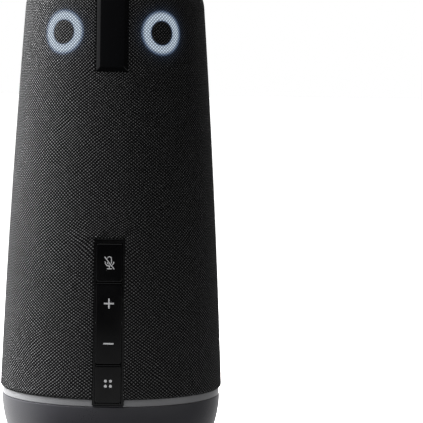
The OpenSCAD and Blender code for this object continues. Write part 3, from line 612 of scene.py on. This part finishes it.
def cap_fold_rows(row):
    """Rows that turn in under the cap's edge, after the last row of the shoulder."""
    r, z, nr, nz = row
    fold = 0.45
    rows = []
    for deep in (0.15, 0.45, 1.0, 2.2):
        back = fold
        if deep < fold:
            back = fold * (1 - math.sqrt(1 - (deep / fold) ** 2))
        rows.append((r - nr * deep - nz * back, z - nz * deep + nr * back, nr, nz))
    return rows


def cloth_rows():
    """Rows (r, z, outward r, outward z, distance along the cloth) from the hem to the cap."""
    rows = hem_rows()
    rows += [side_row(z) for z in cloth_levels()]
    rows += shoulder_rows()
    rows += cap_fold_rows(rows[-1])
    out = []
    s = 0.0
    before = rows[0]
    for row in rows:
        s += math.hypot(row[0] - before[0], row[1] - before[1])
        out.append((*row, s))
        before = row
    return out


def cut_half(z):
    """Half width of the front opening, from the key strip's to the bar's."""
    f = min(1.0, max(0.0, (z - STRIP_CUT_Z) / (BAR_CUT_Z - STRIP_CUT_Z)))
    return STRIP_HALF * (1 - f) + BAR_CUT_HALF * f


def corner_slack(x, z):
    """Height of the slack pulled up round the upper corners of the key strip's opening."""
    total = 0.0
    for side in (-1, 1):
        dx, dz = x - side * STRIP_HALF, z - STRIP_CUT_Z
        d = math.hypot(dx, dz)
        if d > 0.9:
            turn = math.atan2(dz, dx * side)
            fade = math.exp(-((d - 3.0) / 4.5) ** 2)
            total += 0.16 * fade * math.sin(3.2 * turn + 0.9 * side + d * 0.35)
    return total


def cloth_point(a, row, tuck):
    """Point of the cloth's outside, rolled in at the openings."""
    r, z, nr, nz, _ = row
    x = r * math.sin(a)
    if math.cos(a) > 0:
        strip = rolled_in(max(0.0, abs(x) - STRIP_HALF), max(0.0, z - STRIP_CUT_Z), 0.9)
        bar = rolled_in(max(0.0, abs(x) - BAR_CUT_HALF), max(0.0, BAR_CUT_Z - z), 0.8)
        depth = max(strip, bar) - corner_slack(x, z)
    else:
        depth = rolled_in(max(0.0, abs(x) - REAR_CUT_HALF), 0.0, 0.7)
    depth += tuck
    return around(r - nr * depth, a, z - nz * depth)


def cloth_uv(a, row):
    """Place on the flat cloth in millimetres, with the knit pulled round the openings' corners."""
    r, z, _, _, s = row
    x = r * math.sin(a)
    u, v = a * CLOTH_R, s
    if math.cos(a) > 0:
        for side in (-1, 1):
            dx, dz = x - side * STRIP_HALF, z - STRIP_CUT_Z
            pull = math.exp(-(dx * dx + dz * dz) / (2 * 6.0 ** 2))
            u += 1.1 * side * pull
            v -= 1.5 * pull
            dx, dz = x - side * BAR_HALF, z - BAR_CUT_Z
            v += 0.8 * math.exp(-(dx * dx + dz * dz) / (2 * 5.0 ** 2))
    return (u, v)


def half_angles(row):
    """Angles of the cloth's columns over half the tower, from the front opening to the back."""
    r, z = row[:2]
    start = math.asin(cut_half(z) / r)
    end = math.pi - math.asin(REAR_CUT_HALF / r)
    angles = [start] + [start + d / r for d in EDGE_STEPS]
    angles += list(np.linspace(start + EDGE_END / r, end - EDGE_END / r, 118))
    return angles + [end - d / r for d in reversed(EDGE_STEPS)] + [end]


def fabric():
    """The sleeve: two half wraps, and the panel between the key strip and the bar."""
    rows = cloth_rows()
    panel = [k for k, row in enumerate(rows) if STRIP_CUT_Z <= row[1] <= BAR_CUT_Z]
    first, last = panel[0], panel[-1]
    verts, uv, faces = [], [], []

    def add_row(row, angles, tucks):
        for a, tuck in zip(angles, tucks):
            verts.append(cloth_point(a, row, tuck))
            uv.append(cloth_uv(a, row))

    def beside_panel(i, j):
        return j == 0 and first <= i < last

    for side in (-1, 1):
        base = len(verts)
        for row in rows:
            angles = [side * a for a in half_angles(row)]
            add_row(row, angles, [TUCK] + [0.0] * (len(angles) - 2) + [TUCK])
        faces += grid_faces(len(rows), len(angles), base, lambda i, j: not beside_panel(i, j))
    base = len(verts)
    cols = 21
    levels = [(first, TUCK)] + [(k, 0.0) for k in panel] + [(last, TUCK)]
    for k, tuck in levels:
        edge = math.asin(cut_half(rows[k][1]) / rows[k][0])
        add_row(rows[k], np.linspace(-edge, edge, cols), [tuck] * cols)
    faces += grid_faces(len(levels), cols, base)
    ob = new_mesh("fabric_cover", verts, faces, 60.0, uv)
    solid = ob.modifiers.new("thickness", "SOLIDIFY")
    solid.thickness = 0.45 * MM
    solid.offset = -1.0
    place(ob, "speaker_fabric", "tower", "fabric_sleeve")
    return ob


# ---------------------------------------------------------------- bar and rear strip


def mirrored(left, middle=()):
    """Columns from the left edge to the right one, from the left half and the middle."""
    return list(left) + list(middle) + [-x for x in reversed(left)]


def capped(rows):
    """The rows with the first and the last one doubled, for the walls at the ends."""
    return [rows[0]] + rows + [rows[-1]]


def along_tower(rows, xs, rise, front):
    """Points of a strip that lies along the tower: rise(x, z) over its side, sunk at the rim."""
    verts = []
    for i, (r, z, nr, nz) in enumerate(rows):
        for j, x in enumerate(xs):
            rim = i in (0, len(rows) - 1) or j in (0, len(xs) - 1)
            h = -STRIP_DEEP if rim else rise(x, z)
            verts.append(around(r + nr * h, math.asin(x / r), z + nz * h, front))
    return verts


def front_bar():
    """Glossy bar with flat bevels at its sides and lower end, over the shoulder to the cap."""
    bevel = BAR_HALF - BAR_FACE_HALF
    steps = 6
    # The share of the bevel that rounds off into the face.
    blend = 0.12

    def rise(x, z):
        t = min(1.0, min(BAR_HALF - abs(x), z - BAR_Z) / bevel)
        if t >= 1 - blend:
            t = 1 - (1 - t) ** 2 / (4 * blend)
        return BAR_PROUD * t

    left = [-BAR_HALF] + [-BAR_HALF + bevel * k / steps for k in range(steps + 1)]
    left += [-BAR_FACE_HALF + 0.15, -BAR_FACE_HALF + 0.5]
    xs = mirrored(left, np.linspace(-BAR_FACE_HALF + 1.2, BAR_FACE_HALF - 1.2, 9))
    levels = [BAR_Z + bevel * k / steps for k in range(steps + 1)]
    levels += list(np.linspace(BAR_Z + bevel + 0.4, SHOULDER_Z, 24))
    rows = capped([side_row(z) for z in levels] + shoulder_rows())
    verts = along_tower(rows, xs, rise, front=1)
    ob = new_mesh("front_bar_trim", verts, grid_faces(len(rows), len(xs)), 22.0)
    place(ob, "gloss_black", "tower", "front_bar")


VENT_HALF = 4.0
VENTS = [(z, z + 1.2) for z in range(62, 114, 4)]


def rear_levels():
    """Heights of the rear strip's rows, with one at every edge of a vent slot."""
    levels = set(np.linspace(SLEEVE_Z + 0.1, SHOULDER_Z, 60).round(3))
    for vent in VENTS:
        levels |= set(vent)
    levels = sorted(levels)
    return [z for before, z in zip([0.0] + levels, levels) if z - before > 0.05]


def rear_strip():
    """Strip over the fabric's seam at the back, with a ladder of vent slots."""
    half, proud, edge_r = REAR_HALF - 0.05, 0.3, 0.35

    def rise(x, z):
        return proud - edge_r * max(0.0, 1 - (half - abs(x)) / edge_r) ** 2

    left = [-half, -half, -half + 0.08, -half + 0.25, -half + 0.6, -VENT_HALF, -VENT_HALF / 2]
    xs = mirrored(left, [0.0])
    cols = len(xs)
    rows = capped([side_row(z) for z in rear_levels()] + shoulder_rows())
    verts = along_tower(rows, xs, rise, front=-1)

    def in_vent(i, j):
        x = (xs[j] + xs[j + 1]) / 2
        z = (rows[i][1] + rows[i + 1][1]) / 2
        return abs(x) < VENT_HALF and any(low < z < high for low, high in VENTS)

    faces = grid_faces(len(rows), cols, 0, lambda i, j: not in_vent(i, j))
    sunk = {}

    def sunk_point(k):
        """Index of the point at the bottom of a vent's wall, below point k of the surface."""
        if k not in sunk:
            i, j = divmod(k, cols)
            r, z, nr, nz = rows[i]
            sunk[k] = len(verts)
            a = math.asin(xs[j] / r)
            verts.append(around(r - nr * STRIP_DEEP, a, z - nz * STRIP_DEEP, front=-1))
        return sunk[k]

    for i in range(len(rows) - 1):
        for j in range(cols - 1):
            if not in_vent(i, j):
                continue
            a = i * cols + j
            corners = [a, a + 1, a + cols + 1, a + cols, a]
            beside = [(i - 1, j), (i, j + 1), (i + 1, j), (i, j - 1)]
            for p, q, cell in zip(corners, corners[1:], beside):
                if not in_vent(*cell):
                    faces.append((p, q, sunk_point(q), sunk_point(p)))
    ob = new_mesh("rear_strip_trim", verts, faces, 25.0)
    place(ob, "satin_black", "tower", "rear_strip")


# ---------------------------------------------------------------- keys

STRIP_MID = (STRIP_SPAN[0] + STRIP_SPAN[1]) / 2
KEY_EDGE = 0.3
KEY_CORNER = 0.9
# The visible front stands this far behind the CAD key's.
KEY_BEHIND = 0.02
# Each key: its piece, its span of heights, its node, and where its back lies behind the strip.
KEYS = (
    ("mute_button", (87.35, 105.8), "mute_key", -5.2),
    ("volume_button", (48.05, 87.1), "volume_rocker", -4.2),
    ("menu_button", (29.4, 47.8), "menu_key", -5.2),
)


def on_strip(z):
    """Distance up the strip's own plane, from its middle, of a height."""
    return (z - STRIP_MID) / math.cos(lean(STRIP_MID))


def key_front(x):
    """Height of the keys' rounded front over the strip's plane."""
    r = side_r(STRIP_MID) + KEY_PROUD
    return KEY_PROUD - r + math.sqrt((r - KEY_BEHIND) ** 2 - x * x)


def key_outline(w, h):
    """Corner-rounded rectangle, anticlockwise, with extra points along its sides."""
    steps, spacing = 6, 1.2
    pts = []
    for right, up, start in ((1, 1, 0), (-1, 1, 90), (-1, -1, 180), (1, -1, 270)):
        cx, cy = right * (w / 2 - KEY_CORNER), up * (h / 2 - KEY_CORNER)
        pts += arc(cx, cy, KEY_CORNER, start, start + 90, steps)
    out = []
    for (x0, y0), (x1, y1) in zip(pts, pts[1:] + pts[:1]):
        m = max(1, int(math.hypot(x1 - x0, y1 - y0) / spacing))
        out += [(x0 + (x1 - x0) * i / m, y0 + (y1 - y0) * i / m) for i in range(m)]
    return out


def key_cap(name, span, node, back):
    """A key with rounded edges, whose upper end slopes off a little."""
    low, high = on_strip(span[0]), on_strip(span[1])
    w, h, middle = KEY_W, high - low, (low + high) / 2
    pts = key_outline(w, h)

    def top(x, y):
        slope = max(0.0, 1 - (h / 2 - y) / 0.6)
        return key_front(x) - 0.2 * slope ** 2

    def ring(shrink, height):
        fx, fy = (w - 2 * shrink) / w, (h - 2 * shrink) / h
        return [(x * fx, middle + y * fy, height(x * fx, y * fy)) for x, y in pts]

    rings = [
        ring(0.0, lambda x, y: back),
        ring(0.0, lambda x, y: top(x, y) - KEY_EDGE - 1.2),
    ]
    for k in range(6):
        a = math.radians(90 * k / 5)
        drop = KEY_EDGE * (1 - math.sin(a))
        rings.append(ring(KEY_EDGE * (1 - math.cos(a)), lambda x, y: top(x, y) - drop))
    rings += [ring(shrink, top) for shrink in (0.6, 1.1, 1.8, 2.6, 3.5, 4.5, 5.5)]
    # The last ring closes onto a line along the key.
    line_half = max(0.0, h / 2 - w / 2)
    on_line = [max(-line_half, min(line_half, y)) for _, y in pts]
    rings.append([(0.0, middle + y, top(0.0, y)) for y in on_line])
    n = len(pts)
    faces = []
    for start in range(0, n * (len(rings) - 1), n):
        faces += ring_faces(range(start, start + n), range(start + n, start + 2 * n))
    faces.append(tuple(reversed(range(n))))
    at_strip = at_side(0, STRIP_MID)
    verts = [at_strip @ Vector((x * MM, y * MM, z * MM)) for r in rings for x, y, z in r]
    ob = new_mesh(name, verts, faces, 40.0)
    place(ob, "key_black", node, node)


# ---------------------------------------------------------------- CAD pieces that stay

# The width of the rounded edges of each CAD piece that shows.
SOFT_EDGES = {
    "key_bezel": 0.12,
    "port_plate": 0.2,
    "usb_socket": 0.08,
    "power_jack": 0.15,
    "bottom_plate": 0.25,
    "rubber_foot": 0.35,
    "tripod_insert": 0.15,
    "base_screws": 0.15,
}


def soften(node, width):
    """Small rounded edges on a CAD piece that stays."""
    ob = nodes[node]
    weld = ob.modifiers.new("weld", "WELD")
    weld.merge_threshold = 1e-6
    bevel = ob.modifiers.new("bevel", "BEVEL")
    bevel.width = width * MM
    bevel.segments = 2
    bevel.limit_method = "ANGLE"
    bevel.angle_limit = math.radians(30.0)
    bevel.harden_normals = False


# ---------------------------------------------------------------- trim ring and base


def ring_section(r_in, z_low, z_high, edge, steps, draft=0.0):
    """Closed section of a ring as wide as the trim, with its two outer edges rounded."""
    r = TRIM_R - edge
    section = [(r_in, z_low)]
    section += arc(r, z_low + edge, edge, -90, 0, steps)
    section += arc(r - draft, z_high - edge, edge, 0, 90, steps)
    section.append((r_in, z_high))
    return section


def trim_ring():
    """Pale ring between the base and the fabric, open at the key strip."""
    section = ring_section(49.3, BOWL_TOP_Z + TRIM_GAP, SLEEVE_Z - 0.1, 0.35, 5, draft=0.08)
    half = math.degrees(math.asin((STRIP_HALF + 0.15) / TRIM_R))
    ob = revolve("trim_band", section, half, 360 - half, 220, closed=True)
    place(ob, "trim_grey", "tower", "trim_ring")


def strip_sill():
    """Low lip of the base between the trim ring's ends, under the key strip."""
    section = ring_section(50.3, BOWL_TOP_Z + TRIM_GAP, STRIP_SPAN[0] - 0.3, 0.25, 4)
    half = math.degrees(math.asin((STRIP_HALF - 0.05) / TRIM_R))
    ob = revolve("strip_sill", section, -half, half, 24, closed=True)
    place(ob, "base_plastic", "tower")


# The bay in the back of the base. Its walls end a little inside the port plate.
BAY_HALF = 19.0
BAY_LOW = 7.5
BAY_HIGH = 20.5
PORT_PLATE_Y = 37.2
BAY_END_Y = PORT_PLATE_Y - 0.6
# Each ring of the walls: how far it lies inside the base's surface, and how far in from the
# bay's edges. The last one reaches the port plate.
BAY_WALL = ((0.12, 0.14), (0.45, 0.32), (0.9, 0.4), (3.0, 0.4), (math.inf, 0.4))


def bowl_r(z):
    """Radius of the base's rounded side at a height."""
    return BOWL_TOP_R - BOWL_R + math.sqrt(BOWL_R ** 2 - (BOWL_TOP_Z - z) ** 2)


def base_section():
    """Line (r, z) of the base from its foot to its top, and the bay's lowest and highest row."""
    levels = [4.0, 4.6, 5.3, 6.0, 6.8, BAY_LOW, BAY_LOW + 0.15, BAY_LOW + 0.5]
    levels += list(np.linspace(8.8, 19.2, 14))
    levels += [BAY_HIGH - 0.5, BAY_HIGH - 0.15, BAY_HIGH, 21.2, 22.2, 23.4, 24.6, 25.6, 26.4]
    foot = [(44.7, 1.4), (45.8, 1.4)] + arc(45.9, 2.6, 1.2, -90, -38, 4)
    edge = 0.5
    section = foot + [(bowl_r(z), z) for z in levels]
    section += arc(bowl_r(BOWL_TOP_Z - edge) - edge, BOWL_TOP_Z - edge - 0.02, edge, 0, 90, 4)
    section += [(52.0, BOWL_TOP_Z), (41.0, BOWL_TOP_Z)]
    return section, len(foot) + levels.index(BAY_LOW), len(foot) + levels.index(BAY_HIGH)


def bay_walls(verts, rim):
    """Adds the points of the bay's walls, from its rim to the port plate, and gives their faces."""
    low, high, side = BAY_LOW * MM, BAY_HIGH * MM, BAY_HALF * MM
    faces = []
    before = rim
    for depth, inset in BAY_WALL:
        ring = []
        for x, y, z in [verts[k] for k in rim]:
            if abs(abs(x) - side) < 0.3 * MM:
                x -= math.copysign(inset * MM, x)
            if abs(z - low) < THIN:
                z += inset * MM
            elif abs(z - high) < THIN:
                z -= inset * MM
            ring.append(len(verts))
            verts.append((x, max(y - depth * MM, BAY_END_Y * MM), z))
        faces += ring_faces(before, ring)
        before = ring
    return faces


def base_shell():
    """Rounded base with the port bay let into its back."""
    section, bay_low, bay_high = base_section()
    # Columns bend so that two of them follow the bay's upright edges.
    side_cols, bay_cols = 88, 32
    bay_end = side_cols + bay_cols
    cols = bay_end + side_cols
    full_turn = 2 * math.pi
    verts = []
    for r, z in section:
        bay = math.pi - math.asin(BAY_HALF / r)
        angles = [bay * k / side_cols for k in range(side_cols)]
        angles += [bay + (full_turn - 2 * bay) * k / bay_cols for k in range(bay_cols)]
        angles += [full_turn - bay + bay * k / side_cols for k in range(side_cols)]
        verts += [around(r, a, z) for a in angles]
    faces = []
    for i in range(len(section) - 1):
        for j in range(cols):
            if not (bay_low <= i < bay_high and side_cols <= j < bay_end):
                a, b = i * cols + j, i * cols + (j + 1) % cols
                faces.append((a, b, b + cols, a + cols))
    rim = [(bay_low, j) for j in range(side_cols, bay_end)]
    rim += [(i, bay_end) for i in range(bay_low, bay_high)]
    rim += [(bay_high, j) for j in range(bay_end, side_cols, -1)]
    rim += [(i, side_cols) for i in range(bay_high, bay_low, -1)]
    faces += bay_walls(verts, [i * cols + j for i, j in rim])
    ob = new_mesh("base_body", verts, faces, 32.0)
    place(ob, "base_plastic", "tower", "base_shell")


# ---------------------------------------------------------------- camera head

# The centre (r, z) of the hollow curve between the cap and its neck.
NECK_CURVE = (25.89, 248.3)
NECK_R = 14.0
NECK_TOP_Z = 258.0
CAP_Z = 234.4
CAP_R = 27.9


def neck_point(radius, angle):
    """Point (r, z) on the hollow curve, at an angle in degrees from straight down."""
    a = math.radians(angle)
    return (NECK_CURVE[0] - radius * math.sin(a), NECK_CURVE[1] - radius * math.cos(a))


def top_cap():
    """Cap over the fabric's upper edge that sweeps up into the camera's neck."""
    steps = 6
    section = [(CAP_R, CAP_Z), (29.2, CAP_Z), (29.6, 234.8)]
    section += arc(29.0, 236.5, 0.6, 0, 76, steps)
    section += [(27.8, 237.42), (26.2, 237.9)]
    section += [neck_point(10, 8 + 72 * k / 26) for k in range(27)]
    r, z = section[-1]
    for k in range(1, steps + 1):
        f = k / steps
        section.append((r + (NECK_R - r) * f, z + (NECK_TOP_Z - z) * f))
    section += [(12.0, NECK_TOP_Z), (12.0, 257.0), (13.6, 247.5)]
    section += [neck_point(12.2, 80 - 12 * k) for k in range(7)]
    section += [(CAP_R, 235.6), (CAP_R, CAP_Z)]
    ob = revolve("camera_neck", section, steps=256)
    place(ob, "gloss_black", "tower", "top_cap")


def collar():
    """Ring that holds the glass dome on the neck."""
    inside = 11.1
    section = [(inside, NECK_TOP_Z), (13.2, NECK_TOP_Z)]
    section += arc(13.3, 258.3, 0.3, -90, 0, 4)
    section += [(13.6, 259.2), (13.45, 259.55), (12.35, 260.65), (12.0, 260.8)]
    section += [(11.4, 260.8), (11.15, 260.65), (inside, 260.3)]
    ob = revolve("dome_collar", section, closed=True)
    place(ob, "gloss_black", "tower", "lens_collar")


def dome():
    """Glass dome: most of a ball, hollow inside."""
    centre_z, outer_r, inner_r = 262.2, 10.8, 8.6
    section = arc(0.0, centre_z, outer_r, -17.5, 90, 40)
    section += arc(0.0, centre_z, inner_r, 90, -22, 32)
    ob = revolve("glass_dome", section, steps=128, closed=True)
    place(ob, "lens_glass", "tower", "lens_dome")


# ---------------------------------------------------------------- floor, light and camera


def floor():
    """Plain pale floor, a little below the foot so that their faces don't coincide. In metres."""
    half, gap = 40.0, 0.0001
    me = bpy.data.meshes.new("floor")
    corners = [(-half, -half, -gap), (half, -half, -gap), (half, half, -gap), (-half, half, -gap)]
    me.from_pydata(corners, [], [(0, 1, 2, 3)])
    ob = bpy.data.objects.new("floor", me)
    bpy.context.scene.collection.objects.link(ob)
    m = Mat("floor_paper", (0.9, 0.9, 0.9), 0.9)
    m.set(**{"Specular IOR Level": 0.1})
    mottled = m.noise(m.object_coords(), scale=3.0, detail=3.0, rough=0.5)
    m.to("Base Color", m.mix(mottled, (0.89, 0.89, 0.89), (0.91, 0.91, 0.91)))
    me.materials.append(m.m)
    ob.visible_diffuse = False
    ob.visible_glossy = False
    return ob


def area(name, where, target, size, power, glossy=False):
    """Rectangular lamp that the camera doesn't see, and gloss only where asked."""
    data = bpy.data.lights.new(name, "AREA")
    data.shape = "RECTANGLE"
    data.size, data.size_y = size
    data.energy = power
    ob = bpy.data.objects.new(name, data)
    bpy.context.scene.collection.objects.link(ob)
    ob.location = where
    ob.rotation_mode = "QUATERNION"
    ob.rotation_quaternion = (Vector(target) - Vector(where)).to_track_quat("-Z", "Y")
    ob.visible_camera = False
    ob.visible_glossy = glossy


def object_lights():
    """Soft light from the left, a little from the table, and a faint fill from behind."""
    area("key_behind_left", (-0.40, 0.185, 0.58), (0, 0, 0.19), (0.32, 0.42), 13.5)
    area("key_left", (-0.44, 0.0, 0.56), (0, 0, 0.18), (0.36, 0.46), 6.8)
    area("key_front_left", (-0.38, -0.27, 0.52), (0, 0, 0.15), (0.36, 0.4), 2.5)
    area("bounce", (0.12, -0.14, 0.002), (0.12, -0.14, 1.0), (0.36, 0.32), 0.24)
    area("fill_behind_right", (0.27, 0.58, 0.36), (0, 0, 0.15), (0.4, 0.5), 1.2)
    # A small lit panel that shows in the bevels on the left.
    area("left_panel", (-0.78, -0.25, 0.34), (0, -0.05, 0.2), (0.3, 0.4), 0.11, glossy=True)


def floor_light(ground):
    """Sun that lights only the floor, so that it stays evenly pale."""
    only_floor = bpy.data.collections.new("floor_only")
    bpy.context.scene.collection.children.link(only_floor)
    only_floor.objects.link(ground)
    sun = bpy.data.lights.new("floor_light", "SUN")
    sun.energy = 3.3
    sun.angle = math.radians(60)
    ob = bpy.data.objects.new("floor_light", sun)
    bpy.context.scene.collection.objects.link(ob)
    ob.light_linking.receiver_collection = only_floor


def studio_world():
    """White to the camera. To everything else, a bright sweep behind the object in a dim room."""
    world = bpy.data.worlds.new("studio")
    bpy.context.scene.world = world
    world.use_nodes = True
    w = Tree(world.node_tree)
    split = w.node("ShaderNodeSeparateXYZ")
    w.link(w.node("ShaderNodeTexCoord").outputs["Generated"], split.inputs[0])
    x, y, z = split.outputs
    rays = w.node("ShaderNodeLightPath").outputs
    soft = rays["Is Diffuse Ray"]
    sweep = w.map(w.math("MULTIPLY_ADD", x, -0.22, y), (-0.1, 0.45), (0.0, 0.94), smooth=True)
    leftwards = w.map(x, (-0.4, 0.85), (1.45, 0.2), smooth=True)
    room = w.math("MULTIPLY_ADD", sweep, leftwards, 0.018)
    # A dark wall on the right keeps soft light off that side, but not the gloss along its edge.
    wall = w.times(w.map(x, (0.0, 0.45), (0.0, 0.7), smooth=True), soft)
    room = w.times(room, w.minus(1.0, wall))
    # The ceiling, and the table in front as a band under the horizon, show in gloss
    # and add little soft light.
    ceiling = w.map(z, (0.4, 0.85), (0.0, 1.2), smooth=True)
    table_far = w.map(z, (-0.012, -0.042), (0.0, 0.75), smooth=True)
    table_near = w.map(z, (-0.22, -0.12), UNIT, smooth=True)
    in_front = w.map(y, (0.1, -0.1), UNIT, smooth=True)
    shown = w.math("MULTIPLY_ADD", w.times(table_far, table_near), in_front, ceiling)
    shown = w.times(shown, w.map(soft, UNIT, (1.0, 0.15)))
    lit = w.node("ShaderNodeBackground")
    w.link(w.plus(room, shown), lit.inputs["Strength"])
    seen = w.node("ShaderNodeBackground")
    for background in (lit, seen):
        background.inputs["Color"].default_value = (1, 1, 1, 1)
    mixer = w.node("ShaderNodeMixShader")
    w.link(rays["Is Camera Ray"], mixer.inputs[0])
    w.link(lit.outputs[0], mixer.inputs[1])
    w.link(seen.outputs[0], mixer.inputs[2])
    w.link(mixer.outputs[0], w.node("ShaderNodeOutputWorld").inputs[0])


def camera():
    """Camera at the photo's viewing angle, a little right of the front. In metres and degrees."""
    away, height, azimuth = 1.087, 0.181, 1.587
    pitch, yaw, roll = -3.271, 2.606, 0.786
    data = bpy.data.cameras.new("camera")
    data.sensor_width = 36.0
    data.lens = 184.4
    data.clip_end = 100.0
    ob = bpy.data.objects.new("camera", data)
    bpy.context.scene.collection.objects.link(ob)
    az = math.radians(azimuth)
    ob.location = (away * math.sin(az), -away * math.cos(az), height)
    heading = Matrix.Rotation(az - math.radians(yaw), 4, "Z")
    tilt = Matrix.Rotation(math.pi / 2 + math.radians(pitch), 4, "X")
    level = Matrix.Rotation(math.radians(roll), 4, "Z")
    ob.rotation_mode = "QUATERNION"
    ob.rotation_quaternion = (heading @ tilt @ level).to_quaternion()
    bpy.context.scene.camera = ob


# ---------------------------------------------------------------- the scene

dress_nodes()
cover = fabric()
front_bar()
rear_strip()
for key in KEYS:
    key_cap(*key)
for node_name, edge_width in SOFT_EDGES.items():
    soften(node_name, edge_width)
trim_ring()
strip_sill()
base_shell()
top_cap()
collar()
dome()

ground = floor()
object_lights()
floor_light(ground)
studio_world()
bpy.context.scene.view_settings.view_transform = "Standard"
camera()
